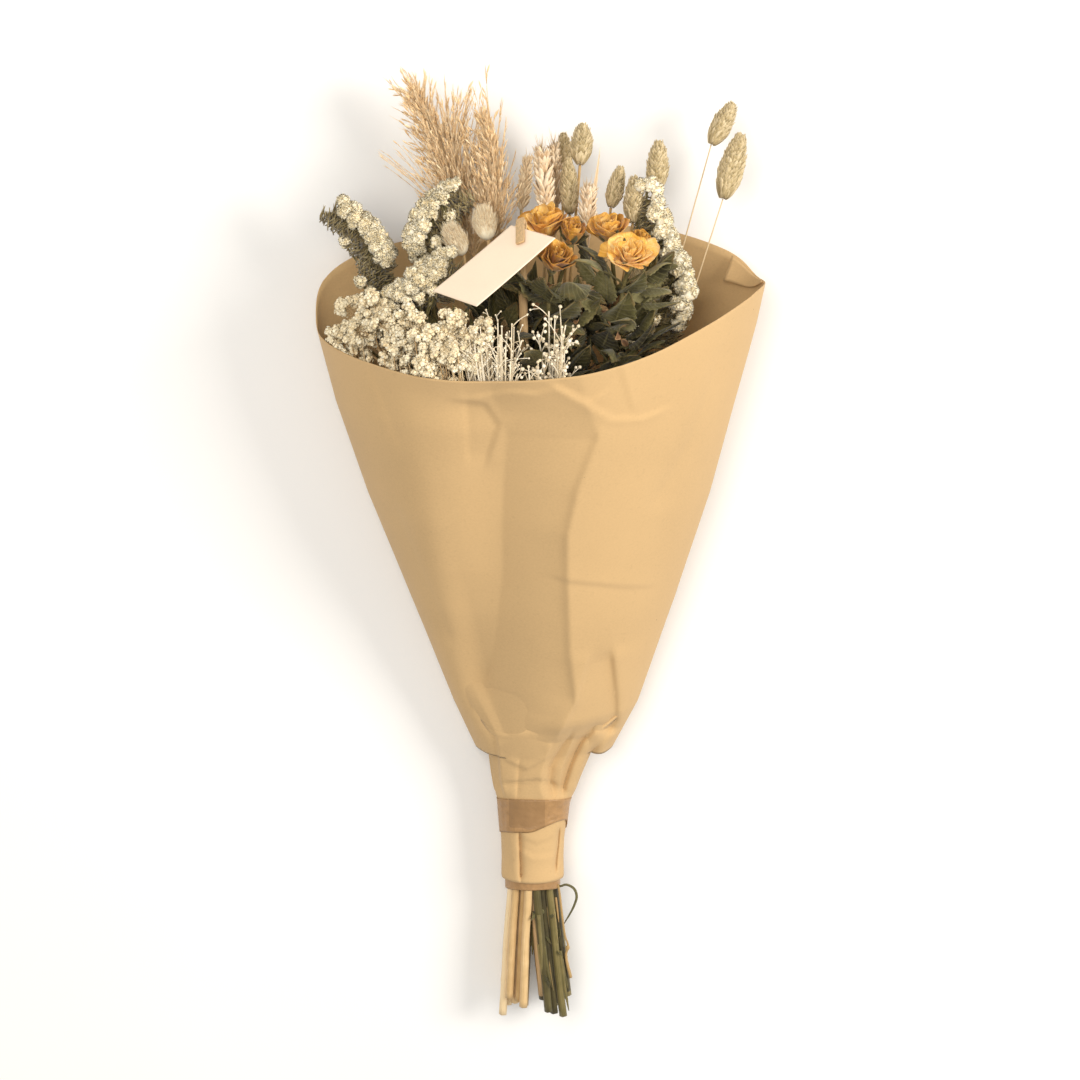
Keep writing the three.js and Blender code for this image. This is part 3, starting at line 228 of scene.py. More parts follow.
# Fine sprays: stalks, from and to (x, y), depth under the paper's front, head size, seed, and the
# upright stalks along the front: from and to (x, y), how many.
FINE_SPRAYS = {
    "broom_bloom_left": (
        8, (-119, 149), (-64, 176), 9, 7.6, 41, ((-118, 146), (-80, 158), 26)),
    "broom_bloom_right": (
        7, (-68, 141), (-30, 172), 9, 6.6, 32, ((-78, 158), (-42, 150), 44)),
    "white_bud_spray_left": (
        7, (-28, 136), (-9, 168), 8, 1.9, 33, ((-45, 166), (-13, 168), 40)),
    "white_bud_spray_right": (
        7, (-6, 134), (16, 182), 9, 2.1, 34, ((-8, 150), (14, 166), 11)),
}
PETALS = 19  # of a bloom
CURLS = 12  # small dry leaves on each leafy stem
BUNNY_HAIRS = 1500
BRACTS = 1500  # of a statice branch
WINGED_STALKS = 60  # under a statice crest
SPIRAL = 2.4  # radians between one petal or branchlet and the next
GOLDEN = 2.39996  # and between the scales of a head
# Leaves that fill the cone behind the fine sprays: how many, their length and width.
FILLING = ((110, (18, 34), (7, 14)), (200, (8, 17), (2.5, 6)))

# The camera stands over the middle, a little towards the heads.
LOOK_AT = (0, 21.4, 55)
DISTANCE = 1850
TILT = 15
LENS = 102.8
SENSOR = 36
# In metres: the floor's height and half its width, and each light's place and size, with its share
# of the key light's power.
FLOOR = -0.0005
FLOOR_HALF = 3
LIGHTS = (("key", (1.5, 0.5, 1.3), 0.8, 0.9), ("fill", (-0.5, 0.8, 2.1), 1.2, 0.84))
LIGHT_COLOUR = (1, 0.955, 0.89)
SURROUND_COLOUR = (1, 0.985, 0.955, 1)


# ---- small maths

def unit(v):
    """Each vector divided by its own length."""
    return v / maximum(np.linalg.norm(v, axis=-1, keepdims=True), 1e-9)


def mixed(a, b, t):
    """The value a share t of the way from a to b."""
    return a + (b - a) * t


def smooth(low, high, value):
    """0 below low, 1 above high, and an S-shaped run between."""
    t = clip((value - low) / (high - low), 0, 1)
    return t * t * (3 - 2 * t)


def read(table, y):
    """Each column of a table whose rows start with y, straight between rows."""
    return [np.interp(y, table[:, 0], column) for column in table.T[1:]]


def joined(*parts):
    """Points from their coordinates."""
    return stack(np.broadcast_arrays(*parts), -1)


def across(tangent):
    """Two directions across each tangent, so that side, up and tangent are right-handed."""
    steep = abs(tangent[..., 2:]) > 0.95
    guide = np.where(steep, array((0, 1, 0)), array((0, 0, 1)))
    side = unit(np.cross(guide, tangent))
    return side, np.cross(tangent, side)


def leaning(axis, turn, share):
    """Directions that lean out from each axis by a share, turned round it."""
    side, up = across(axis)
    turn, share = np.broadcast_arrays(turn, share)
    turn, share = turn[..., None], share[..., None]
    return unit(axis * (1 - share / 2) + side * share * cos(turn) + up * share * sin(turn))


def through(points, t):
    """A smooth curve through a few points (Catmull-Rom, centripetal) at shares t of its way."""
    points = array(points, float)
    ends = [2 * points[0] - points[1], *points, 2 * points[-1] - points[-2]]
    knots = np.cumsum([0] + [np.linalg.norm(b - a) ** 0.5 for a, b in zip(ends, ends[1:])])
    t = np.atleast_1d(np.asarray(t, float))
    part = clip(t * (len(points) - 1), 0, len(points) - 1 - 1e-9)
    found = np.zeros((len(t), 3))
    for k in range(len(points) - 1):
        inside = (part >= k) & (part < k + 1)
        p, u = ends[k:k + 4], knots[k:k + 4]
        s = (u[1] + (u[2] - u[1]) * (part[inside] - k))[:, None]
        a = [((u[i + 1] - s) * p[i] + (s - u[i]) * p[i + 1]) / (u[i + 1] - u[i]) for i in range(3)]
        b = [((u[i + 2] - s) * a[i] + (s - u[i]) * a[i + 1]) / (u[i + 2] - u[i]) for i in range(2)]
        found[inside] = ((u[2] - s) * b[0] + (s - u[1]) * b[1]) / (u[2] - u[1])
    return found


def along_curve(points, t):
    """Points and tangents of that curve at shares t."""
    ahead, behind = through(points, clip(t + 0.01, 0, 1)), through(points, clip(t - 0.01, 0, 1))
    return through(points, t), unit(ahead - behind)


def ripple(u, v, seed, waves=8):
    """A smooth uneven field from about -1 to 1: a sum of plane waves drawn at random."""
    rng = np.random.default_rng(seed)
    total = 0
    for _ in range(waves):
        turn, length, phase = rng.uniform(0, TAU), rng.uniform(0.6, 1.7), rng.uniform(0, TAU)
        total = total + sin((u * cos(turn) + v * sin(turn)) / length + phase)
    return total / waves ** 0.5 / 1.4


def draws(seed, count):
    """The same run of numbers from 0 to 1 that the solids were made with (Park-Miller)."""
    found = []
    state = seed
    for _ in range(count):
        state = state * 16807 % 2147483647
        found.append((state - 1) / 2147483646)
    return found


# ---- surfaces

# A skin is any number of alike closed surfaces: points (copies, vertices, 3), faces of one copy, and
# two numbers for each vertex: how far along it lies and how far across.
Skin = namedtuple("Skin", "points quads tris along across")


def turns(count):
    """Angles evenly spaced round a circle."""
    return arange(count) / count * TAU


def shell(points, count, around):
    """A skin of rings of points, closed at both ends by poles that stand last among its points."""
    i, j = np.meshgrid(arange(count - 1), arange(around), indexing="ij")
    a, b = i * around + j, i * around + (j + 1) % around
    quads = stack([a, b, b + around, a + around], -1).reshape(-1, 4)
    j = arange(around)
    k, last = (j + 1) % around, (count - 1) * around
    tris = concatenate([
        joined(np.full(around, last + around), k, j),
        joined(np.full(around, last + around + 1), last + j, last + k)])
    share = concatenate([np.repeat(linspace(0, 1, count), around), (0, 1)])
    wide = concatenate([np.tile(cos(turns(around)), count), (0, 0)])
    return Skin(points, quads, tris, share, wide)


def tubes(paths, radii, sides=5, flat=1, ribs=0):
    """Closed tubes along one path or several: round every point stands a ring of the point's
    radius, pressed flat by a share and ribbed by another, and a pole closes each end."""
    paths = np.asarray(paths, float)
    paths = paths.reshape(-1, *paths.shape[-2:])
    copies, count = paths.shape[:2]
    radii = np.broadcast_to(np.asarray(radii, float), (copies, count))
    tangent = unit(np.gradient(paths, axis=1))
    steep = abs(unit(tangent.mean(1, keepdims=True))[..., 2:]) > 0.9
    guide = np.where(steep, (0, 1, 0), (0, 0, 1))
    side = unit(np.cross(np.broadcast_to(guide, tangent.shape), tangent))
    up = np.cross(tangent, side)
    turn = turns(sides)
    reach = 1 + ribs * cos(turn * sides / 2)
    ring = (side[:, :, None] * (cos(turn) * reach)[:, None]
            + up[:, :, None] * (sin(turn) * reach)[:, None] * flat)
    points = (paths[:, :, None] + radii[:, :, None, None] * ring).reshape(copies, -1, 3)
    return shell(concatenate([points, paths[:, :1], paths[:, -1:]], 1), count, sides)


def plates(grid, thick):
    """Thin closed plates round grids of points (copies, rows, columns, 3): both faces stand off
    the grid by half the thickness along its normal, and a strip joins them round the edge."""
    grid = grid.reshape(-1, *grid.shape[-3:])
    copies, rows, cols = grid.shape[:3]
    normal = unit(np.cross(np.gradient(grid, axis=1), np.gradient(grid, axis=2)))
    top, bottom = grid + normal * thick / 2, grid - normal * thick / 2
    points = concatenate([top.reshape(copies, -1, 3), bottom.reshape(copies, -1, 3)], 1)
    under = rows * cols
    i, j = np.meshgrid(arange(rows - 1), arange(cols - 1), indexing="ij")
    a = (i * cols + j).ravel()
    face = joined(a, a + cols, a + cols + 1, a + 1)
    edge = concatenate([
        arange(rows - 1) * cols, (rows - 1) * cols + arange(cols - 1),
        arange(rows - 1, 0, -1) * cols + cols - 1, arange(cols - 1, 0, -1)])
    after = np.roll(edge, -1)
    strip = joined(edge, under + edge, under + after, after)
    quads = concatenate([face, face[:, ::-1] + under, strip])
    share = np.tile(np.repeat(linspace(0, 1, rows), cols), 2)
    wide = np.tile(linspace(-1, 1, cols), 2 * rows)
    return Skin(points, quads, np.zeros((0, 3), int), share, wide)


def rings(grid):
    """One closed surface from rings of points (rings, around, 3) that close on themselves both
    ways, as a sheet folded back into a loop does."""
    count, around = grid.shape[:2]
    i, j = np.meshgrid(arange(count), arange(around), indexing="ij")
    k, m = (i + 1) % count, (j + 1) % around
    quads = joined(i * around + j, i * around + m, k * around + m, k * around + j)
    share = np.repeat(linspace(0, 1, count), around)
    wide = np.tile(linspace(0, 1, around, endpoint=False), count)
    return Skin(grid.reshape(1, -1, 3), quads.reshape(-1, 4), np.zeros((0, 3), int), share, wide)


def spun(profile, around, lobes=1):
    """A closed surface spun from a profile of (radius, height) rows between two poles, in a frame
    of its own along +Z; lobes scale every other point of each ring."""
    profile = np.asarray(profile, float)
    turn = turns(around)
    reach = np.ones((len(profile), around))
    reach[:, 1::2] = np.reshape(lobes, (-1, 1))
    inner = joined(
        profile[:, :1] * reach * cos(turn), profile[:, :1] * reach * sin(turn),
        np.broadcast_to(profile[:, 1:], reach.shape))[1:-1]
    poles = ((0, 0, profile[0, 1]), (0, 0, profile[-1, 1]))
    return shell(concatenate([inner.reshape(-1, 3), poles])[None], len(profile) - 2, around)


def boat(length, width, keel, hook, rows, thick):
    """A husk, scale or glume along +Z, of a pointed oval outline with a raised middle: a thin
    plate whose half width is a power of a sine along it."""
    u = linspace(0, 1, rows)[:, None]
    v = linspace(-1, 1, 3)[None]
    half = width / 2 * (0.25 + 0.75 * sin(pi * (0.1 + 0.83 * u)) ** 0.8)
    x = half * (1 - 0.7 * smooth(0.75, 1, u)) * v
    y = keel * (1 - abs(v) ** 1.5) * sin(pi * (0.12 + 0.8 * u)) + hook * length * u * u
    return plates(joined(x, y, length * u), thick)


def placed(skin, origins, ways, faces=None, scale=1):
    """Copies of a one-piece skin: its +Z turned to each way and its +Y towards each face."""
    ways = unit(np.asarray(ways, float))
    side, up = across(ways)
    if faces is not None:
        side = unit(np.cross(faces, ways))
        up = np.cross(ways, side)
    frames = stack([side, up, ways], 1)
    scale = np.broadcast_to(np.asarray(scale, float), (len(ways),))[:, None, None]
    points = origins[:, None] + scale * (skin.points[0] @ frames)
    return skin._replace(points=points)


# Pieces that aren't held inside the paper.
OUTSIDE = ("kraft_paper_wrap", "neck_tape", "stem_tape", "stem_band", "card", "card_stick")


def linked(name, data):
    """A new object in the scene."""
    made = bpy.data.objects.new(name, data)
    bpy.context.scene.collection.objects.link(made)
    return made


class Heap:
    """Gathers skins for one piece. Each copy has a tone, and each vertex its place on the copy."""

    def __init__(self, seed=0, stem=None, sides=10):
        self.rng = np.random.default_rng(seed)
        self.points, self.quads, self.tris, self.places, self.paints = [], [], [], [], [[], []]
        self.size = 0
        if stem:
            self.add(*stem_skin(stem, sides))

    def add(self, skin, tone=0.5, paint=0):
        """Adds a skin's copies, with faces turned outwards by the sign of each one's volume. The
        tone is one for all, for each copy or for each vertex, or a range to draw each copy's from."""
        points = skin.points
        copies, count = points.shape[:2]
        corners = concatenate([skin.quads[:, :3], skin.quads[:, [0, 2, 3]], skin.tris])
        a, b, c = (points[:, corners[:, k]] - points[:, :1] for k in range(3))
        inside_out = ((a * np.cross(b, c)).sum((1, 2)) < 0)[:, None, None]
        start = self.size + arange(copies)[:, None, None] * count
        for faces, kept, paints in zip((skin.quads, skin.tris), (self.quads, self.tris), self.paints):
            turned = np.where(inside_out, faces[None, :, ::-1], faces[None]) + start
            kept.append(turned.reshape(-1, faces.shape[1]))
            paints.append(np.full(copies * len(faces), paint))
        tone = np.asarray(self.rng.uniform(*tone, copies) if isinstance(tone, tuple) else tone, float)
        tone = np.broadcast_to(tone[:, None] if tone.ndim == 1 else tone, (copies, count))
        place = joined(skin.along, skin.across, tone)
        self.points.append(points.reshape(-1, 3))
        self.places.append(place.reshape(-1, 3))
        self.size += copies * count
        return self

    def piece(self, name, node, slot, *finishes):
        """Puts what was gathered into one mesh that stands for a solid of the frame."""
        points = concatenate(self.points)
        if node not in OUTSIDE:
            points = held_inside(points, bpy.context.scene.bouquet_wrap)
        quads, tris = concatenate(self.quads), concatenate(self.tris)
        corners = concatenate([quads.ravel(), tris.ravel()])
        starts = concatenate([arange(len(quads)) * 4, quads.size + arange(len(tris)) * 3])
        mesh = bpy.data.meshes.new(name)
        mesh.vertices.add(len(points))
        mesh.loops.add(len(corners))
        mesh.polygons.add(len(starts))
        place = mesh.attributes.new("place", "FLOAT_VECTOR", "POINT")
        for target, key, values, kind in (
                (mesh.vertices, "co", points * MM, np.float32),
                (mesh.loops, "vertex_index", corners, np.int32),
                (mesh.polygons, "loop_start", starts, np.int32),
                (mesh.polygons, "material_index", concatenate(sum(self.paints, [])), np.int32),
                (mesh.polygons, "use_smooth", np.ones(len(starts)), bool),
                (place.data, "vector", concatenate(self.places), np.float32)):
            target.foreach_set(key, values.astype(kind).ravel())
        for finish in finishes:
            mesh.materials.append(finish)
        mesh.update(calc_edges=True)
        if mesh.validate():
            raise RuntimeError(name + " has faulty faces")
        piece = linked(name, mesh)
        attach(piece, "root")
        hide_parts(node)


# ---- finishes

def tint(red, green, blue):
    """A colour seen on a screen, as the linear colour that a shader takes."""
    c = array((red, green, blue)) / 255
    return tuple(float(x) for x in np.where(c < 0.04045, c / 12.92, ((c + 0.055) / 1.055) ** 2.4))


class Number:
    """A number that varies over a surface; arithmetic on it adds Math nodes."""

    def __init__(self, finish, socket):
        self.finish = finish
        self.socket = socket

    def _made(self, operation, *values):
        node = self.finish.node("ShaderNodeMath", {"operation": operation}, dict(enumerate(values)))
        return Number(self.finish, node.outputs[0])

    def __add__(self, other):
        return self._made("ADD", self, other)

    def __sub__(self, other):
        return self._made("SUBTRACT", self, other)

    def __rsub__(self, other):
        return self._made("SUBTRACT", other, self)

    def __mul__(self, other):
        return self._made("MULTIPLY", self, other)

    __radd__ = __add__
    __rmul__ = __mul__

    def above(self, edge, soft):
        """1 where the number is over edge, with a soft run of the given width."""
        scaled = self._made("MULTIPLY_ADD", self, 1 / soft, 0.5 - edge / soft)
        scaled.socket.node.use_clamp = True
        return scaled

    def size(self):
        return self._made("ABSOLUTE", self)

    def sine(self):
        return self._made("SINE", self)


class Finish:
    """A material under construction: a principled shader and the nodes that feed it."""

    def __init__(self, name, roughness, sheen, specular, base=(0, 0, 0)):
        self.material = bpy.data.materials.new(name)
        self.material.use_nodes = True
        self.tree = self.material.node_tree
        self.shader = self.tree.nodes["Principled BSDF"]
        self.shader.inputs["Roughness"].default_value = roughness
        self.shader.inputs["Sheen Weight"].default_value = sheen
        self.shader.inputs["Specular IOR Level"].default_value = specular
        self.base = self.colour(base)

    def colour(self, given):
        """A linear colour: from a number the base shaded by it, from a tuple a screen's colour."""
        if isinstance(given, (int, float)):
            return tuple(min(1, c * given) for c in self.base)
        return tint(*given) if isinstance(given, tuple) else tuple(given)

    def node(self, kind, settings, sockets):
        """Adds a node: its settings first, then the values or links of its sockets."""
        node = self.tree.nodes.new(kind)
        for key, value in settings.items():
            setattr(node, key, value)
        for key, value in sockets.items():
            self.feed(node.inputs[key], value)
        return node

    def feed(self, socket, value):
        """Links a socket or a Number, or sets a colour, a vector or a plain number."""
        if isinstance(value, Number):
            value = value.socket
        if isinstance(value, bpy.types.NodeSocket):
            self.tree.links.new(value, socket)
        elif socket.type == "RGBA":
            socket.default_value = (*self.colour(value), 1)
        else:
            socket.default_value = value

    def place(self):
        """How far along and across its petal, blade or stalk a point lies, and the copy's tone."""
        node = self.node("ShaderNodeAttribute", {"attribute_name": "place"}, {})
        parts = self.node("ShaderNodeSeparateXYZ", {}, {0: node.outputs["Vector"]})
        return [Number(self, socket) for socket in parts.outputs]

    def where(self, stretch=(1, 1, 1)):
        """Object coordinates in metres, stretched."""
        node = self.node("ShaderNodeTexCoord", {}, {})
        sockets = {"Vector": node.outputs["Object"], "Scale": Vector(stretch)}
        return self.node("ShaderNodeMapping", {}, sockets).outputs[0]

    def noise(self, scale, detail=3, where=None):
        """Clouds of a scale, in object coordinates unless others are given."""
        node = self.node("ShaderNodeTexNoise", {}, {
            "Vector": where or self.where(), "Scale": scale, "Detail": detail, "Roughness": 0.55})
        return Number(self, node.outputs["Fac"])

    def streaks(self, along, over, tone, detail):
        """Noise that follows the piece, with a slice of its own for each tone."""
        node = self.node("ShaderNodeCombineXYZ", {}, {0: along, 1: over, 2: tone * 37})
        return self.noise(1, detail, node.outputs[0])

    def ramp(self, value, *stops):
        """A colour that runs through the stops, each a place and a colour, as the value grows."""
        node = self.node("ShaderNodeValToRGB", {}, {0: value})
        elements = node.color_ramp.elements
        for k, (stop, colour) in enumerate(stops):
            element = elements[k] if k < 2 else elements.new(stop)
            element.position = stop
            element.color = (*self.colour(colour), 1)
        return node.outputs[0]

    def mix(self, share, a, b):
        """The colour a share of the way from a to b."""
        return self.node("ShaderNodeMix", {"data_type": "RGBA"}, {0: share, 6: a, 7: b}).outputs[2]

    def done(self, colour, height=None, depth=0.0002, roughness=None):
        """Feeds the colour, a bump of the given depth in metres, and a roughness that varies."""
        self.feed(self.shader.inputs["Base Color"], colour)
        if height is not None:
            bump = self.node("ShaderNodeBump", {}, {"Strength": 1, "Distance": depth, "Height": height})
            self.feed(self.shader.inputs["Normal"], bump.outputs[0])
        if roughness is not None:
            self.feed(self.shader.inputs["Roughness"], roughness)
        return self.material


def paper_finish(settings):
    """Matt kraft: cloudy fibres, a fine cross grain, faint mottling and a few dark specks."""
    f = Finish("kraft_paper", 0.86, 0.08, 0.22, settings.paper_colour)
    cloud, grain = f.noise(9), f.noise(2600, 2)
    fibre = f.noise(900, 3, f.where((0.8, 1.1, 1)))
    colour = f.ramp(cloud * 0.6 + fibre * 0.4, (0.34, 0.92), (0.5, 1), (0.68, 1.06))
    cells = f.node("ShaderNodeTexVoronoi", {"feature": "F1"}, {
        "Vector": f.where(), "Scale": 70, "Randomness": 1})
    near = 1 - Number(f, cells.outputs["Distance"]).above(0.024, 0.014)
    pick = f.node("ShaderNodeSeparateColor", {}, {0: cells.outputs["Color"]})
    speck = near * Number(f, pick.outputs[0]).above(0.62, 0.05)
    colour = f.mix(speck * settings.speckle, colour, 0.16)
    colour = f.mix(f.noise(330).above(0.66, 0.08) * 0.14, colour, 0.66)
    return f.done(colour, fibre * 0.5 + grain * 0.5, 0.00005, 0.8 + cloud * 0.14)


def tape_finish(settings):
    """Glossy brown paper tape, creased, and darker where it is doubled."""
    f = Finish("brown_tape", 0.4, 0, 0.5, settings.tape_colour)
    crease = f.noise(240, 4)
    colour = f.ramp(crease * 0.7 + f.noise(1300) * 0.3, (0.35, 0.84), (0.52, 1), (0.7, 1.14))
    colour = f.mix(f.place()[2].above(0.5, 0.04) * 0.7, colour, 0.72)
    return f.done(colour, crease, 0.0005, 0.28 + crease * 0.3)


def card_finish(settings):
    """Smooth card with a faint cloud and fibre."""
    f = Finish("card_stock", 0.62, 0, 0.35, settings.card_colour)
    fibre = f.noise(900, 4)
    colour = f.ramp(f.noise(30) * 0.6 + fibre * 0.4, (0.3, 0.93), (0.6, 1))
    return f.done(colour, fibre, 0.00006, 0.55 + fibre * 0.16)


def wood_finish(settings):
    """Pale wood: dark fibres drawn out along the stick."""
    f = Finish("stick_wood", 0.6, 0, 0.35, settings.wood_colour)
    along, over, tone = f.place()
    grain = f.streaks(along * 26, over * 9, tone, 4)
    fine = f.streaks(along * 90, over * 40, tone, 3)
    return f.done(f.ramp(grain * 0.6 + fine * 0.4, (0.32, 0.6), (0.5, 1), (0.66, 1.3)), grain + fine)


def rubber_finish(settings):
    """Dull rubber with a cloudy bloom."""
    f = Finish("rubber_band", 0.5, 0, 0.45, settings.rubber_colour)
    bloom = f.noise(300)
    return f.done(f.ramp(bloom, (0.35, 0.75), (0.65, 1.15)), bloom)


def petal_finish(settings):
    """Dried petals: amber with fine veins, browned at the lip and in the folds."""
    f = Finish("rose_petal", 0.62, 0.25, 0.3, settings.rose_colour)
    along, over, tone = f.place()
    veins = f.streaks(along * 2.2, over * 9, tone, 4)
    cloud = f.noise(160, 4)
    colour = f.ramp(veins * 0.35 + cloud * 0.3 + tone * 0.35, (0.3, (150, 84, 16)), (0.42, 0.72),
                    (0.52, 1), (0.64, (242, 190, 92)), (0.76, (250, 218, 150)))
    lip = along.above(0.94, 0.08) * cloud.above(0.5, 0.12)
    colour = f.mix(lip * 0.55, colour, (170, 104, 34))
    # painted shade: darker towards each petal's foot, deep in the bloom
    colour = f.mix((1 - along.above(0.25, 0.35)) * 0.4, colour, (150, 96, 36))
    return f.done(colour, veins * 0.8 + cloud * 0.6, 0.0006)


def leaf_finish(settings):
    """Dried leaves: dull olive, a pale midrib with slanting side veins, brown at tips and margins."""
    f = Finish("rose_leaf", 0.7, 0.15, 0.3, settings.leaf_colour)
    along, over, tone = f.place()
    cloud, fine = f.noise(120, 4), f.noise(700)
    colour = f.ramp(cloud * 0.45 + fine * 0.2 + tone * 0.35, (0.28, (44, 38, 18)), (0.42, 0.62),
                    (0.55, 1), (0.72, (150, 142, 98)))
    rib = 1 - over.size().above(0.07, 0.08)
    side = (along * 46 - over.size() * 13).sine().above(0.8, 0.3)
    colour = f.mix(rib * 0.5 + side * 0.22, colour, (156, 146, 98))
    dry = (along * 0.45 + over.size() * 0.3 + cloud * 0.9).above(1.08, 0.18)
    colour = f.mix(dry * 0.5, colour, (134, 106, 60))
    return f.done(colour, cloud * 0.8 + rib * 0.5 + side * 0.35 + fine * 0.3, 0.0005)


def stalk_finish():
    """Stalks of every kind: tone runs from nearly black through green and tan to pale straw, with
    streaks along the stalk."""
    f = Finish("dry_stalk", 0.62, 0.1, 0.35)
    along, over, tone = f.place()
    streak = f.streaks(along * 10, over * 5, tone * 0.2, 4)
    cloud = f.noise(140)
    colour = f.ramp(tone + streak * 0.3 + cloud * 0.16 - 0.23,
                    (0, (38, 30, 14)), (0.3, (104, 94, 52)), (0.5, (152, 134, 84)),
                    (0.7, (188, 152, 98)), (0.9, (224, 190, 138)), (1, (238, 212, 168)))
    return f.done(colour, streak + cloud * 0.4, 0.00035)


def husk_finish(name, dark, base, light, stripes=6, edge=None):
    """Husks and scales: darker between the keel and the margins, which are pale and papery."""
    f = Finish(name, 0.68, 0.15, 0.3, base)
    along, over, tone = f.place()
    fine = f.streaks(along * 3, over * stripes, tone, 3)
    colour = f.ramp(
        fine * 0.5 + tone * 0.4 + f.noise(90, 2) * 0.1, (0.28, dark), (0.5, 1), (0.74, light))
    margin = over.size().above(0.72, 0.4) * 0.6 + along.above(0.9, 0.2) * 0.4
    return f.done(f.mix(margin, colour, edge or light), fine + over.size() * 0.4, 0.0003)


def hair_finish(name, dark, base, light):
    """Fine hairs: each its own tone, darker at the root and paler at the tip."""
    f = Finish(name, 0.55, 0.3, 0.3, base)
    along, _, tone = f.place()
    cloud = f.noise(60)
    colour = f.ramp(tone * 0.6 + cloud * 0.25 + along * 0.18, (0.2, dark), (0.5, 1), (0.82, light))
    return f.done(f.mix(along.above(0.85, 0.3) * 0.5, colour, light), cloud)


def floret_finish(name, dark, base, light, foot_shade):
    """Papery florets: cream with a darker throat, fine folds and a few browned ones."""
    f = Finish(name, 0.75, 0.2, 0.25, base)
    along, _, tone = f.place()
    fold = f.noise(420)
    colour = f.ramp(
        fold * 0.35 + tone * 0.35 + f.noise(70) * 0.3, (0.3, dark), (0.46, 1), (0.66, light))
    # painted shade: the lower part of each floret, towards its foot and deep in its cluster, is mixed
    # towards a darker colour
    return f.done(f.mix((1 - along.above(0.28, 0.3)) * 0.6, colour, foot_shade), fold, 0.0005)


# ---- the bundle of stems

def spread(y):
    """How far a stem has spread at y: it leaves the bundle straight and then runs out."""
    return np.hypot(maximum(y - FAN_FROM, 0), BEND) - BEND


def bundle_slots():
    """Slots of a honeycomb without its six corners: 31 in a round."""
    found = []
    for row in range(-3, 4):
        for q in range(-3, 4):
            ring, far = max(abs(q), abs(row), abs(q + row)), q * q + q * row + row * row
            if ring <= 3 and far <= 7:
                found.append((PITCH * (q + row / 2), PITCH * row * 3 ** 0.5 / 2))
    return array(found)


# The blade that loops out beside the cut stems, and a thin knotted straw.
FOOT_BLADE = ((9.5, -211, 24), (12.8, -211.6, 26), (16.4, -209.8, 28), (21.2, -211.6, 30),
    (23, -216.6, 30), (21.4, -224, 28), (18.4, -231.5, 25), (15.3, -238.4, 22))
FOOT_STRAW = ((11.2, -210, 27), (12.2, -215.5, 27), (15.8, -244.6, 27), (17.6, -250.8, 27),
    (16.4, -258, 27), (19.4, -273, 27))


def give_slots():
    """Two stems swap slots until every pair spreads the way its slots lie, so none cross."""
    slots = bundle_slots()
    heads = array([stem[0] for stem in STEMS.values()], float)
    lean = (heads[:, [0, 2]] - BUNDLE_AXIS) / spread(heads[:, 1])[:, None]
    chosen = list(range(len(lean)))
    swapped = True
    while swapped:
        swapped = False
        for i in range(len(chosen)):
            for j in range(i + 1, len(chosen)):
                apart = slots[chosen[i]] - slots[chosen[j]]
                if (lean[i] - lean[j]) @ apart < -1e-9:
                    chosen[i], chosen[j] = chosen[j], chosen[i]
                    swapped = True
    return {name: slots[k] for name, k in zip(STEMS, chosen)}


SLOTS = give_slots()


def card_ways():
    """The card's long way, its short way square to it, and its face."""
    long_way = unit(CARD_LONG_WAY)
    short_way = unit(CARD_SHORT_WAY - long_way * (CARD_SHORT_WAY @ long_way))
    return long_way, short_way, np.cross(long_way, short_way)


def holder_frame():
    """The holder's start behind the card's edge, its way, its side and the card's face."""
    long_way, short_way, face = card_ways()
    way = unit(long_way * PRONG_WAY[0] + short_way * PRONG_WAY[1])
    start = CARD_CORNER + short_way * CARD[1] * GRIP_AT - way * GRIP_BEHIND
    return start, way, np.cross(face, way), face


def stem_head(name):
    """Where a stem ends in its head or first fork."""
    if name == "card_stick":
        start, way = holder_frame()[:2]
        return start + way * 1.5
    return array(STEMS[name][0], float)


def stem_points(name, y):
    """A stem's axis at heights y: from its slot it spreads to its head, and splays at its foot."""
    y = np.asarray(y, float)
    slot, head = SLOTS[name], stem_head(name)
    t = spread(y) / spread(head[1])
    lean = SPLAY[0] if slot[0] < -0.1 else SPLAY[1]
    down = maximum(BOUND - y, 0) / (BOUND - CUT_END)
    x, z = BUNDLE_AXIS[0] + slot[0], BUNDLE_AXIS[1] + slot[1]
    return joined(mixed(x, head[0], t) + down * (lean + slot[0] * SPLAY[2]), y, mixed(z, head[2], t))


def stem_radius(name, y):
    """The stem's radius: full in the bundle and thinner towards its head."""
    head = STEMS[name][0][1]
    share = np.interp(y, (FAN_FROM, -115, -50, head), (0, 0.3, 0.7, 1))
    slim = 0.45 if name in ("canary_grass_7", "canary_grass_8") else 1
    return mixed(STEM, STEMS[name][1] * slim, share ** slim)


def stem_skin(name, sides):
    """The whole stem as one ribbed tube with a swollen joint and a darker cut end, and its tones:
    by side of the bundle at the foot and by kind towards the head."""
    slot = SLOTS[name]
    rng = np.random.default_rng(abs(int(slot[0] * 71 + slot[1] * 13)) + 5)
    foot, head = CUT_END + STEMS[name][2], stem_head(name)[1]
    y = np.unique(concatenate([
        linspace(foot, BOUND + 14, 22), linspace(BOUND + 20, head, 26)]))
    wander = joined(ripple(y / 26, 0, int(head * 7)), 0 * y, ripple(y / 31, 0, int(head * 3)))
    path = stem_points(name, y) + wander * 0.7 * smooth(BOUND, BOUND - 40, y)[:, None]
    thin = 0.96 + 0.1 * rng.random()
    radius = stem_radius(name, y) * mixed(thin, 0.95, smooth(FAN_FROM - 10, FAN_FROM + 40, y))
    joint = foot + 22 + 25 * rng.random()
    radius = radius * (1 + 0.16 * exp(-((y - joint) / 1.6) ** 2))
    order = list(STEMS).index(name)
    low = STRAW + 0.12 - 0.42 * rng.random() ** 2 if slot[0] < -0.1 else GREEN[order % len(GREEN)]
    tone = mixed(low, STEMS[name][3], smooth(-210, -60, y))
    tones = concatenate([np.repeat(tone, sides), (tone[0] - 0.25, tone[-1])])
    return tubes(path, radius, sides, 1, 0.07), tones[None]


# ---- the paper wrap

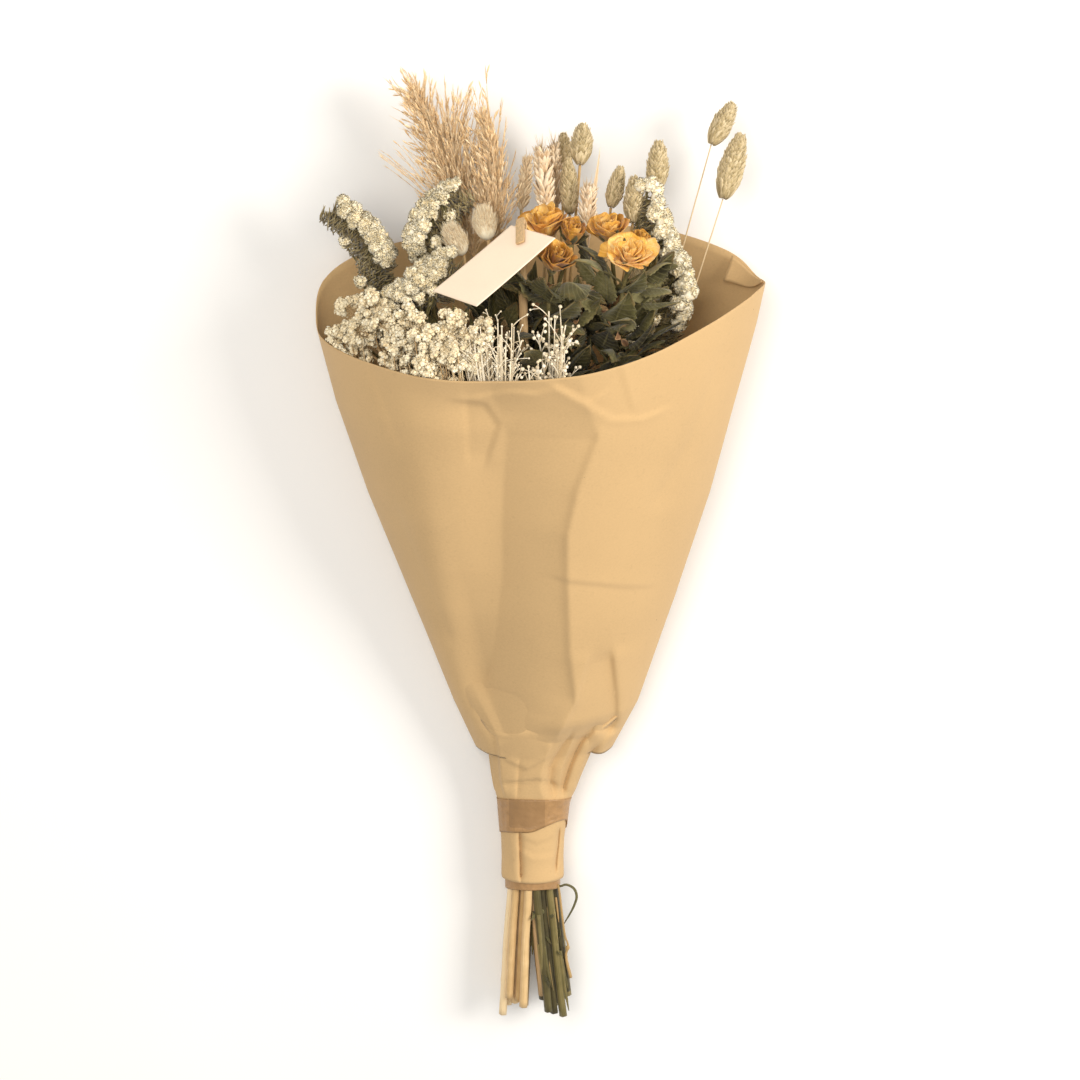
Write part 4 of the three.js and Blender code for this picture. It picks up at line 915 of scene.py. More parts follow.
def cone_point(y, a, inset):
    """The cone's sheet at height y and angle a: an oval with creased sides and a flattened back."""
    w, x, side, top = read(CONE, y)
    c, s = cos(a), sin(a)
    front = side + (top - side - inset) * maximum(s, 0) ** CURVED[0]
    back = side - (side + FLATTENED - inset) * maximum(-s, 0) ** CURVED[1]
    z = np.where(s >= 0, front, maximum(back, inset))
    return joined(x + (w - inset) * c, y, z)


def neck_point(y, a, inset):
    """The gathered neck at height y and angle a: a round section round the stems."""
    w, x, low, high = read(NECK, y)
    c, s = cos(a), sin(a)
    return joined(x + (w - inset) * c, y, (low + high) / 2 + ((high - low) / 2 - inset) * s)


def rim_at(a):
    """The rim's height along Y at angle a, with its corners a little rounded."""
    degrees = arange(0, 361, 15)
    return sum(np.interp((a + d) % TAU * 360 / TAU, degrees, RIM) for d in (-0.07, 0, 0.07)) / 3


def off_line(x, y, line):
    """How far places lie from a bent line, positive on the left of its way, and how far past its
    ends."""
    nearest = np.full(np.broadcast(x, y).shape, 1e9)
    signed, past = np.zeros_like(nearest), np.zeros_like(nearest)
    line = array(line, float)
    for k in range(len(line) - 1):
        step = line[k + 1] - line[k]
        length = np.linalg.norm(step)
        t = ((x - line[k, 0]) * step[0] + (y - line[k, 1]) * step[1]) / length ** 2
        held = clip(t, 0, 1)
        gap = np.hypot(x - line[k, 0] - held * step[0], y - line[k, 1] - held * step[1])
        over = ((y - line[k, 1]) * step[0] - (x - line[k, 0]) * step[1]) / length
        beyond = (k == 0) * maximum(-t, 0) + (k == len(line) - 2) * maximum(t - 1, 0)
        closer = gap < nearest
        nearest = np.where(closer, gap, nearest)
        signed = np.where(closer, np.where(beyond > 0, over, np.copysign(gap, over)), signed)
        past = np.where(closer, beyond * length, past)
    return signed, past


def creased(x, y, creases, fade=8):
    """The sum of creases, each a line with a trough of a width and depth along it (a ridge where
    the depth is negative) and a bank that lifts the left side of its way and lowers the other."""
    total = 0
    for line, width, depth, bank, reach in creases:
        over, past = off_line(x, y, line)
        step = np.tanh(over / width * 1.6) * exp(-1.5 * abs(over / reach))
        total = total + exp(-(past / fade) ** 2) * (-depth * exp(-abs(over / width)) + bank * step)
    return total


# The long valley in the front: y and the x of its left and right sides.
VALLEY = array((
    (-120, -18, 4), (-108, -22, 8), (-72, -42, 20), (-41, -33, 17), (9, -27, 15), (40, -27, 15),
    (69, -27, 21), (100, -26, 32), (125, -34, 24), (150, -38, 18),
))
# Creases of the front: line, width, depth, height of the bank, how far the bank reaches.
CREASES = (
    (((32, 100), (21, 69), (15.2, 40), (15.2, 9), (16.9, -41), (20.7, -72)), 3, -1, 0.7, 18),
    (((15.2, 9.3), (36, 5), (60, -1.5)), 2, 0, 0.8, 9),
    (((-83, 41), (-70, 5), (-56, -35)), 8, 1.4, 1.1, 22),
    (((-34, 125), (-17, 129.5), (-2, 128.8), (9, 133), (20.6, 125.6)), 1.8, -0.5, -0.8, 9),
    (((-43, 121), (-31, 120), (-23, 107), (-28.6, 88)), 2.6, -0.5, 1.2, 12),
    (((-42, 119), (-41, 90)), 3, 0.9, -0.4, 10),
    (((12, 132), (29, 123), (32.5, 126)), 1.6, -0.9, -0.7, 8),
    (((31.5, 119), (41, 112.5), (59, 111), (66, 113)), 1.9, -1.1, -0.9, 9),
    (((47, 140), (51.5, 123)), 1.5, -0.9, 0.6, 6),
    (((44, -50), (47, -79), (47.7, -98), (44, -105)), 3.6, -0.6, 3.2, 20),
    (((44, -104), (34, -100), (26, -111), (22, -124)), 3.4, 4.2, 1.8, 12),
    (((27, -50), (20.8, -76), (12.1, -97), (5.6, -120)), 4.5, -2.2, -1.3, 16),
    (((17, -104), (13.5, -112), (8, -124)), 2.8, 1.9, -1.2, 9),
    (((-19, -108), (-14, -101), (-7.5, -101)), 2.8, 0.9, 1.2, 9),
    (((-33, -66), (-44, -96), (-40, -118)), 4, 1, 0.7, 12),
    (((62, -74), (55, -100), (49, -118)), 2.6, 1.1, -0.8, 9),
    (((70, 60), (88, 92), (104, 140)), 8, 1.3, 0.7, 20),
    (((-96, 132), (-84, 96)), 5, 1.1, -0.5, 14),
)
# Creases of the neck above the tape.
NECK_CREASES = (
    (((17, -106), (13.5, -112), (6.4, -127), (5.7, -137), (8.9, -152)), 2.6, 3.4, -1.7, 8),
    (((34, -100), (25.6, -111), (19, -128), (14.8, -144), (15.6, -154)), 3.4, 4.4, 2.2, 10),
    (((20, -108), (13.1, -130), (11.6, -152)), 2, -1.4, -0.3, 7),
    (((30, -118), (22.4, -141), (18.5, -154)), 1.7, -1.2, -0.6, 7),
    (((5.6, -112), (0.6, -134), (2.6, -152)), 2.6, -1.2, -0.8, 9),
    (((-19.6, -139), (-10, -137.6), (-1, -135), (6, -139)), 1.5, 0.8, 0.9, 8),
    (((-18, -124), (-8, -128), (0, -122)), 1.5, -0.5, 0.8, 8),
    (((-26.5, -112), (-25.5, -122), (-24.6, -139), (-20.6, -156)), 1.2, -0.6, 2.3, 9),
    (((-13, -126), (-15, -155)), 2, 0.9, -0.5, 7),
)
# Slits and creases of the cuff below the tape.
CUFF_CREASES = (
    (((-12.8, -170), (-12.4, -186), (-11.8, -200)), 1.1, 4, -0.9, 5),
    (((12.2, -172), (11.4, -184), (9.8, -197)), 1.1, 3.4, 0.8, 5),
    (((-11.5, -183.5), (-4, -187.5), (6.8, -188)), 1.3, -0.4, -0.7, 7),
    (((-10, -176), (-2, -179), (6, -177)), 1.4, 0.4, 0.5, 5),
    (((-19, -178), (-17, -196)), 1.6, -0.4, 0.6, 5),
)


def front_relief(x, y, settings):
    """How far the front stands off its plain form: a long valley, gentle on its left and steep up
    to the crease on its right, folds over the hem, and a soft crumple."""
    left, right = read(VALLEY, y)
    t = (x - left) / (right - left)
    sunk = smooth(-1.35, 0.12, t) * clip((1.04 - t) / 0.92, 0, 1) ** 0.9
    w, middle = read(CONE, y)[:2]
    inner = smooth(0.97, 0.5, abs(x - middle) / w)
    total = -settings.valley / MM * sunk * inner * smooth(-122, -84, y) * smooth(160, 112, y)
    total = total + 0.9 * exp(-((x - 46) / 26) ** 2) * smooth(-60, 10, y)
    total = total + 3 * exp(-((x + 60) / 24) ** 2) * smooth(-50, 60, y)
    total = total + creased(x, y, CREASES) * settings.crease
    low = smooth(-66, -112, y)
    broad = ripple(x / 34, y / 44, 3) * 0.9
    crumple = ripple(x / 11, y / 15, 4, 12) * 0.2
    facets = abs(ripple(x / 19, y / 25, 9, 9)) * -0.6 * (0.5 + low)
    return total + settings.crumple * (broad + crumple + facets)


def held_inside(points, settings):
    """Places that lie below the rim pushed back under the front of the paper."""
    x, y, z = np.moveaxis(points, -1, 0)
    w, middle, side, top = read(CONE, y)
    a = np.arccos(clip((x - middle) / w, -1, 1))
    front = side + (top - side) * sin(a) ** CURVED[0]
    front = front + smooth(0, 0.5, sin(a)) * front_relief(x, y, settings)
    hidden = (y < rim_at(a) + 1) & (y > -60)
    return joined(x, y, np.where(hidden, minimum(z, front - 1.2), z))


def neck_folds(x, y):
    """The neck's folds above the tape and the cuff's slits below it, as heights."""
    free = smooth(-152, -144, y)
    cuff = smooth(-169, -176, y)
    return (1.25 * creased(x, y, NECK_CREASES, 5) + 0.5 * ripple(x / 9, y / 12, 15)) * free + (
        creased(x, y, CUFF_CREASES, 3) + 0.35 * ripple(x / 7, y / 9, 16)) * cuff


def neck_height(x, y):
    """The height of the neck's front over a place."""
    w, middle, low, high = read(NECK, y)
    share = clip((x - middle) / w, -0.985, 0.985)
    return (low + high) / 2 + (high - low) / 2 * np.sqrt(1 - share ** 2) + neck_folds(x, y)


def cone_sheet(y, a, inset, settings):
    """The cone with its relief. In the middle of the hem its front runs down onto the neck's sheet
    and goes under it, and on both sides it overhangs the neck."""
    points = cone_point(y, a, inset)
    x, y = points[..., 0], points[..., 1]
    s, c = sin(a), cos(a)
    front = smooth(0, 0.5, s)
    points[..., 2] += front * front_relief(x, y, settings)
    runs_on = smooth(-33, -15, x) * smooth(41, 27, x) * front * smooth(-93, -112, y)
    points[..., 2] = mixed(points[..., 2], neck_height(x, y) - 0.8 - inset, runs_on)
    edge = (1 - front) * smooth(-1, -0.3, s)
    points[..., 0] += edge * c * 0.9 * ripple(y / 23, s * 3, 6) * settings.crumple
    under = smooth(-0.1, -0.7, s)
    points[..., 2] += under * smooth(1, 8, points[..., 2]) * 0.8 * ripple(x / 19, y / 24, 12)
    points[..., 2] = maximum(points[..., 2], 0)
    return points


def neck_sheet(y, a, inset, settings):
    """The neck with its folds above the tape, soft gathers at its back, and the slit cuff below."""
    points = neck_point(y, a, inset)
    s, c = sin(a), cos(a)
    x, y = points[..., 0].copy(), points[..., 1]
    front = smooth(-0.05, 0.4, s)
    free = smooth(FAN_FROM - 2, FAN_FROM + 9, y)
    cuff = smooth(-168, -176, y)
    turn = a + 0.2 * sin(2 * a + 1) + (y + 140) * 0.004
    gather = smooth(0.25, -0.3, s) * (free + 0.35 * cuff)
    gather = gather * (1.1 * sin(turn * 13) + 0.5 * sin(turn * 29 + 1))
    flare = 1.2 * smooth(-192, -205, y) * (0.4 + 0.6 * front)
    points[..., 2] += front * neck_folds(x, y)
    points[..., 0] += c * (gather + flare + (1 - abs(s)) * 1.2 * free * ripple(y / 9, s * 2, 21))
    points[..., 2] += s * (gather * 0.7 + flare)
    points[..., 2] = maximum(points[..., 2], 0.4)
    return points


def turned_corner():
    """The corner of the back sheet at the right of the rim, folded in: a triangle along the rim
    that stands off the wall at its crease."""
    u = linspace(0, 1, 18)[:, None]
    v = linspace(0, 1, 9)[None]
    a = mixed(-0.52, -0.05, u)
    y = rim_at(a) + 0.3 - v * mixed(15, 1, u)
    inset = 1.4 + 4.2 * (1 - u) ** 1.5 * (0.35 + 0.65 * v)
    return plates(cone_point(y, a, inset), 0.5)


def make_wrap(settings):
    """The sheet as one loop of rings: down the outside from the rim to the hem, back up inside it,
    down the neck, up its inside and up the inside of the cone to the rim."""
    t = turns(300)
    a = t + 0.33 * cos(t)
    sheet = settings.sheet / MM
    front = maximum(sin(a), 0)
    neck_hem = NECK_HEM[0] - NECK_HEM[1] * front + 0.4 * ripple(a * 2, 0, 2)
    rim = rim_at(a) + 0.35 * ripple(a * 5, 0, 8)
    hem = HEM + 1 * front * cos(a * 4 + 0.6)

    def run(section, start, end, count, inset):
        return [section(mixed(start, end, v), a, inset, settings) for v in linspace(0, 1, count)]

    loop = run(cone_sheet, rim, hem, 176, 0)
    loop += [cone_sheet(mixed(hem, -92, v), a, sheet * min(v * 6, 1) + 0.01, settings)
             for v in linspace(0.03, 1, 6)]
    loop += run(neck_sheet, -104, -191, 56, 0) + run(neck_sheet, -193, neck_hem, 8, 0)
    loop += run(neck_sheet, neck_hem, -193, 4, sheet) + run(neck_sheet, -191, -104, 20, sheet)
    loop += run(cone_sheet, -70, rim, 54, sheet)
    heap = Heap().add(rings(array(loop))).add(turned_corner())
    heap.piece("wrap_sheet", "kraft_paper_wrap", "kraft_paper", paper_finish(settings))


# ---- tapes and band

def band_skin(section, low, high, thick, wrinkle, seed, rows=18, around=240, soft=0.12):
    """A band as a loop of rings: its outer face wrinkled and pinched in front, its edges rounded.
    low and high give the edges' height along Y by angle."""
    t = turns(around)
    a = t + 0.3 * cos(t)
    front, right = smooth(0, 0.6, sin(a)), smooth(-0.1, 0.5, cos(a))
    outer = []
    for v in linspace(0, 1, rows):
        y = mixed(high(a), low(a), v) + 0.25 * ripple(a * 5, v * 2, seed + 1)
        rise = 0.3 * ripple(a * 8, v * 5, seed) + 0.18 * ripple(a * 23, v * 4, seed + 5)
        slant = 0.7 * exp(-((v - 0.78 + 0.1 * cos(a)) / 0.04) ** 2) * right
        pinch = front * (0.9 * exp(-((v - 0.93) / 0.05) ** 2) + slant)
        edge = soft * abs(2 * v - 1) ** 8
        outer.append(section(y, a, -thick - wrinkle * (rise + 0.3 + pinch) + edge))
    inner = [section(mixed(low(a), high(a), v), a, -0.02) for v in (0.02, 0.5, 0.98)]
    return rings(array(outer + inner))


def over_paper(y, a, inset):
    """The section of the neck, over its paper."""
    return neck_point(y, a, inset - 0.3)


def round_stems(y, a, inset):
    """A round section that holds the whole bundle of stems."""
    r = PITCH * 7 ** 0.5 + STEM + 0.3 - inset
    x, z = BUNDLE_AXIS[0] + r * cos(a), BUNDLE_AXIS[1] + r * sin(a)
    return joined(x, y, z)


def make_bindings(settings):
    """The tape over the gathered paper, the tape round the stems and the band under the paper.
    The upper tape climbs over the front and narrows to the right; where it is doubled it is darker."""
    tape = tape_finish(settings)

    def up_front(a):
        return maximum(sin(a), 0)

    def bottom(a):
        right = smooth(-0.25, 0.9, cos(a))
        return -177 + smooth(-0.3, 0.4, sin(a)) * (5.6 * up_front(a) + 8 * right)

    skin = band_skin(over_paper, bottom, lambda a: -154.4 + 5.2 * up_front(a), 0.5, settings.wrinkle, 3)
    x, y, z = np.moveaxis(skin.points[0], -1, 0)
    dark_patch = smooth(-19.6, -19, x) * smooth(3.4, 2.8, x) * smooth(-169, -168.4, y) * (z > 20)
    Heap().add(skin, dark_patch[None]).piece("neck_tape_band", "neck_tape", "tape", tape)
    skin = band_skin(round_stems, lambda a: -214.6 + 4.2 * up_front(a), lambda a: -200 + 0 * a, 0.5,
                     settings.wrinkle * 0.5, 7)
    Heap().add(skin, 0.25).piece("stem_tape_band", "stem_tape", "tape", tape)
    skin = band_skin(
        round_stems, lambda a: -172 + 0 * a, lambda a: -166 + 0 * a, 0.7, 0.1, 5, 8, 120, 0.35)
    Heap().add(skin).piece("rubber_band", "stem_band", "rubber", rubber_finish(settings))


# ---- card and holder

def make_card(settings):
    """A stiff blank card, bowed a little away from where it is gripped."""
    long_way, short_way, face = card_ways()
    u = linspace(0, 1, 48)[:, None, None]
    v = linspace(0, 1, 34)[None, :, None]
    bow = settings.bow / MM * (u ** 2 - 0.35 * u * (v - 0.2) * 2)
    points = CARD_CORNER + u * CARD[0] * long_way + v * CARD[1] * short_way + bow * face
    skin = plates(points, CARD[2] * 0.75)
    Heap().add(skin).piece("card_sheet", "card", "card_stock", card_finish(settings))


def bar(start, way, side, face, length, wide, thick):
    """A bar with rounded edges: a squared-off oval carried along its length and closed."""
    turn = turns(20)
    c, s = cos(turn)[:, None], sin(turn)[:, None]
    x, z = wide / 2 * np.sign(c) * abs(c) ** 0.35, thick / 2 * np.sign(s) * abs(s) ** 0.35
    u = array((0, 0.008, 0.02, 0.3, 0.6, 0.98, 0.992, 1))[:, None, None]
    size = array((0.8, 0.94, 1, 1, 1, 1, 0.94, 0.8))[:, None, None]
    rows = start + u * length * way + size * x * side + size * z * face
    points = concatenate([rows.reshape(-1, 3), (start, start + way * length)])
    return shell(points[None], 8, 20)


def make_holder(settings):
    """The stick, split at its top into two prongs that hold the card by its short edge."""
    start, way, side, face = holder_frame()
    wide, thick, reach = PRONG
    heap = Heap()
    for sign, tone in ((1, 0.2), (-1, 0.7)):
        prong = start + face * sign * (SLIT + thick / 2)
        heap.add(bar(prong, way, side, face, reach, wide, thick), tone)
    heap.add(bar(start, way, side, face, 3.2, wide, 2 * (SLIT + thick)), 0.4)
    y = linspace(CUT_END + STEMS["card_stick"][2], stem_head("card_stick")[1], 40)
    heap.add(tubes(stem_points("card_stick", y), stem_radius("card_stick", y), 12, 1, 0.05))
    heap.piece("card_holder", "card_stick", "stick_wood", wood_finish(settings))


# ---- roses

def bloom_petals(foot, axis, radius, height, opened, seed):
    """Petals in a spiral. Each is a piece of a cup whose radius grows with the root of its height,
    wider and lower the further out it stands; outer lips roll outwards, and each is crushed by its
    own broad folds, which deepen towards the lip."""
    rng = np.random.default_rng(seed)
    petal = arange(PETALS)[:, None, None]
    q = petal / (PETALS - 1)
    u = linspace(0, 1, 13)[None, :, None]
    v = linspace(-1, 1, 17)[None, None]
    own = 9 * petal

    def vary(low, high):
        return rng.uniform(low, high, (PETALS, 1, 1))

    angle = SPIRAL * petal + vary(-0.25, 0.25)
    lip = radius * (0.12 + 0.88 * q ** 0.8) * vary(0.86, 1.08)
    tall = height * (1.02 - 0.22 * q) * vary(0.86, 1.06)
    roll = smooth(0.6, 1, u) * opened * (0.1 + 0.9 * q) * vary(0.4, 1.3)
    turned = angle + (1.35 - 0.5 * q) * v * (0.45 + 0.55 * sin(pi * (0.12 + 0.6 * u)))
    folds = ripple(v * 2.9 + own, u * 1.6 + own, seed, 7)
    sharp = ripple(v * 8 + own, u * 4 - own, seed + 1, 8)
    ridge = 0.5 - abs(ripple(v * 4.2 + own, u * 1.4 + own * 2, seed + 2, 6))
    crush = (0.13 * folds + 0.12 * ridge + 0.045 * sharp) * (0.25 + 0.75 * u)
    r = mixed(radius * (0.1 + 0.16 * q), lip, u ** 0.6) + roll + radius * (0.1 * v * u + crush)
    h = (tall * (u - 0.22 * abs(v) ** 3 * u ** 2) - roll * 0.4
         + height * (0.06 * folds + 0.05 * sharp) * u ** 2)
    side, up = across(axis)
    points = (foot + h[..., None] * axis + (r * cos(turned))[..., None] * side
              + (r * sin(turned))[..., None] * up)
    tones = rng.uniform(0.05, 0.95, PETALS) * 0.6 + 0.4 * linspace(1, 0.3, PETALS)
    # painted shade and light: the tone follows the folds, darker where a petal is pressed in and paler
    # where it is pushed out
    tones = clip(tones[:, None, None] + 2 * crush, 0, 1)
    return plates(points, 0.3), np.tile(tones.reshape(PETALS, -1), 2)


def bloom_frame(name):
    """A bloom's foot and the way it faces, with its radius, height and opening."""
    _, middle, face, radius, height, opened = BLOOMS[name]
    axis = unit(array(face, float))
    return middle - axis * height / 2, axis, radius, height, opened


def make_roses(settings):
    """Every bloom: its petals round a closed core."""
    finish = petal_finish(settings)
    for k, name in enumerate(BLOOMS):
        foot, axis, radius, height, opened = bloom_frame(name)
        skin, tones = bloom_petals(foot + axis * 0.6, axis, radius, height, opened, 60 + k)
        heap = Heap().add(skin, clip(tones + BLOOM_TONE[k], 0, 1))
        core = foot + linspace(0.04, 0.5, 6)[:, None] * height * axis
        heap.add(tubes(core, radius * array((0.2, 0.3, 0.3, 0.24, 0.16, 0.05)), 10), 0.2)
        heap.piece("rose_petals_" + name[-1], name, "rose_petal", finish)


def leaf_grid(rng, base, way, face, shape, seed, rows=17, cols=7):
    """Leaves: a toothed pointed oval, folded along its rib, arched or curled over its length,
    twisted and cockled. The shape is their length, width, fold, curl and twist, each as one number,
    one for every leaf, or a range to draw from."""
    count = len(way)
    length, width, fold, curl, twist = (
        (rng.uniform(*p, count) if isinstance(p, tuple) else np.broadcast_to(p, count))[:, None, None]
        for p in shape)
    base, way, face = (np.atleast_2d(p)[:, None, None] for p in (base, unit(way), face))
    u = linspace(0, 1, rows)[None, :, None]
    v = linspace(-1, 1, cols)[None, None]
    side = unit(np.cross(face, way))
    up = np.cross(way, side)
    swell = 0.05 + 0.95 * sin(pi * u ** 0.75) ** 0.85
    tooth = np.where(abs(v) == 1, np.where(arange(rows)[:, None] % 2, 1, -0.6), 0)
    half = width / 2 * swell * (1 + 0.13 * tooth)
    copy = arange(count)[:, None, None]
    wave = ripple(u * 5 + copy * 7, v * 2.5 + copy * 3, seed)
    lift = abs(v) * half * fold + wave * width * 0.1
    turn, arc = twist * u, curl * u
    x = v * half * cos(turn) - lift * sin(turn)
    z = v * half * sin(turn) + lift * cos(turn)
    reach = length * np.sinc(arc / pi) * u
    bow = np.where(abs(arc) > 1e-6, (1 - cos(arc)) / maximum(abs(arc), 1e-6), 0)
    rise = length * bow * np.sign(curl) * u
    return base + reach[..., None] * way + x[..., None] * side + (z + rise)[..., None] * up


def calyx(heap, name):
    """Under each bloom a swollen hip and a cup, with five narrow sepals curled back from it."""
    foot, axis, radius = bloom_frame(name)[:3]
    rows = foot + array((-6.5, -4.6, -2.6, -1, 0.6))[:, None] * axis
    heap.add(tubes(rows, (1.2, 2, 2.9, 2.6, 1.6), 12), 0.45)
    rng = np.random.default_rng(int(radius * 10))
    way = leaning(axis, turns(5) + rng.uniform(0, 1), rng.uniform(0.75, 1.25, 5))
    length = radius * 0.62 + 6
    shape = (0.8 * length, 1.15 * length), 4.2, 0.5, (0.2, 1.2), (-1, 1)
    grid = leaf_grid(rng, foot - axis * 0.6 + way * 1.2, way, axis, shape, 3, 11, 5)
    heap.add(plates(grid, 0.35), rng.uniform(0.3, 0.8, 5), 1)


def fork(heap, bloom, stem):
    """The branch from the stem's fork to the bloom's hip, arched a little."""
    foot, axis = bloom_frame(bloom)[:2]
    t = linspace(-0.05, 1, 14)[:, None]
    sag = sin(pi * clip(t, 0, 1)) * (0, 0, -1.2)
    path = mixed(stem_head(stem), foot - axis * 5.6, t) + sag
    heap.add(tubes(path, linspace(1.35, 1.05, 14), 8, 1, 0.05), 0.32)


def dense_leaves(heap, name, more):
    """The stem's own leaves, more and smaller crumpled ones on side twigs that fill the cone round
    it, and a few dry curls."""
    rng = heap.rng
    own, head = array(LEAVES[name], float), stem_head(name)
    ranges = (-12, 84), (-0.6, pi + 0.6), (17, 31), (10, 18)
    before, turn, length, width = (
        concatenate([column, rng.uniform(*span, more)]) for column, span in zip(own.T, ranges))
    twig = concatenate([np.full(len(own), 1), rng.uniform(2, 24, more)])[:, None]
    at = minimum(head[1] - before, head[1])
    stem = stem_points(name, at)
    tangent = unit(stem_points(name, at + 4) - stem)
    side, up = across(tangent)
    out = side * cos(turn)[:, None] + up * sin(turn)[:, None]
    base = stem + (out * 0.85 + tangent * 0.55) * twig
    base[:, 0] = minimum(base[:, 0], 58)
    base[:, 2] = minimum(base[:, 2], under_paper(base[:, 0], base[:, 1], 14))
    heap.add(tubes(bezier(stem, mixed(stem, base, 0.5) + tangent * 2, base, 6), 0.5, 5), 0.3)
    way = unit(tangent * 0.8 + out * rng.uniform(0.35, 0.8, (len(turn), 1))
               + rng.normal(0, 0.15, (len(turn), 3)))
    shape = length, width, (0.15, 0.7), (-0.5, 1.5), (-0.9, 0.9)
    grid = leaf_grid(rng, base, way, out, shape, int(head[0]) + 90)
    heap.add(plates(grid, 0.4), (0, 1), 1)
    start = base[rng.integers(0, len(base), CURLS)] + rng.normal(0, 2, (CURLS, 3))
    way, face = rng.normal(0, 1, (CURLS, 3)) + (0, 0.8, 0.3), unit(rng.normal(0, 1, (CURLS, 3)))
    shape = (5, 11), (2, 5), (0.3, 0.9), (-1.8, 1.8), (-2, 2)
    heap.add(plates(leaf_grid(rng, start, way, face, shape, 7, 9, 5), 0.3), (0, 1), 2)


def make_foliage(settings):
    """Every leafy stem with its leaves, dry curled bits, and the forks and cups of its blooms."""
    stalk, leaf = stalk_finish(), leaf_finish(settings)
    dry = husk_finish("dry_leaf", (96, 66, 40), (150, 108, 70), (190, 148, 102), 5)
    for k, name in enumerate(LEAVES):
        heap = Heap(20 + k, name)
        dense_leaves(heap, name, settings.side_leaves)
        for bloom, row in BLOOMS.items():
            if row[0] == name:
                fork(heap, bloom, name)
                calyx(heap, bloom)
        if name == "leafy_stem":
            foot_scraps(heap, 1)
        heap.piece(name + "_foliage", name, "rose_green", stalk, leaf, dry)


# ---- grasses

def head_frame(name, tip):
    """A head's foot, the run from it to its tip, and the way of that run."""
    base = stem_head(name)
    return base, tip - base, unit(tip - base)


def head_radius(t, radius):
    """The outline of a dense head: fullest below its middle."""
    return radius * sin(pi * clip(t, 0.001, 0.999) ** 0.8) ** 0.6


def head_core(base, run, radius, share, sides):
    """The closed core of a dense head, a share of the head's radius."""
    t = linspace(0.02, 1, 14)
    return tubes(base + t[:, None] * run, head_radius(t * 0.97, radius) * share + 0.1, sides)


def make_canary(settings):
    """Canary grass: keeled scales in a spiral on an oval core, lapping towards the tip."""
    stalk = stalk_finish()
    husk = husk_finish("canary_husk", (150, 130, 88), settings.canary_colour, (236, 216, 176), 9,
                       (236, 216, 174))
    scale = boat(5.2, 2.1, 0.65, 0.02, 5, 0.2)
    for k, (name, (tip, radius)) in enumerate(CANARY.items()):
        base, run, axis = head_frame(name, tip)
        count = int(11 * np.linalg.norm(run) * radius / 6)
        heap = Heap(200 + k, name, 8).add(head_core(base, run, radius, 0.82, 12), 0.35, 1)
        t = (arange(count) + 0.3) / count * 0.95
        out = leaning(axis, GOLDEN * arange(count), 2)
        tilt = mixed(0.46, 0.16, t)[:, None] + heap.rng.uniform(-0.08, 0.1, (count, 1))
        origin = base + t[:, None] * run * 0.95 + out * head_radius(t + 0.03, radius)[:, None] * 0.72
        size = mixed(1.05, 0.8, t) * radius / 6 * heap.rng.uniform(0.85, 1.15, count)
        heap.add(placed(scale, origin, axis + out * tilt, out, size), (0, 1), 1)
        heap.piece("canary_spike_" + name[-1], name, "canary", stalk, husk)


def make_bunny(settings):
    """Bunny tails: fine hairs that stand up and out all over a soft oval head."""
    stalk, count = stalk_finish(), BUNNY_HAIRS
    hair = hair_finish("bunny_hair", (214, 184, 138), (246, 222, 180), (255, 244, 216))
    for k, (name, (tip, radius)) in enumerate(BUNNY.items()):
        base, run, axis = head_frame(name, tip)
        heap = Heap(300 + k, name, 8).add(head_core(base, run, radius, 0.72, 14), 1, 1)
        rng = heap.rng
        t = rng.uniform(0, 1, (count, 1)) ** 0.9
        out = leaning(axis, rng.uniform(0, TAU, count), 2)
        origin = base + t * 0.94 * run + out * head_radius(t, radius) * 0.58
        way = unit(axis + out * mixed(0.75, 0.3, t) + rng.normal(0, 0.16, (count, 3)))
        reach = rng.uniform(3.5, 7.8, (count, 1))
        end = origin + unit(way + axis * 0.35) * reach
        heap.add(tubes(stack([origin, origin + way * reach * 0.55, end], 1), (0.15, 0.12, 0.03), 3),
                 (0, 1), 1)
        heap.piece("bunny_tail_head_" + name[-1], name, "bunny", stalk, hair)


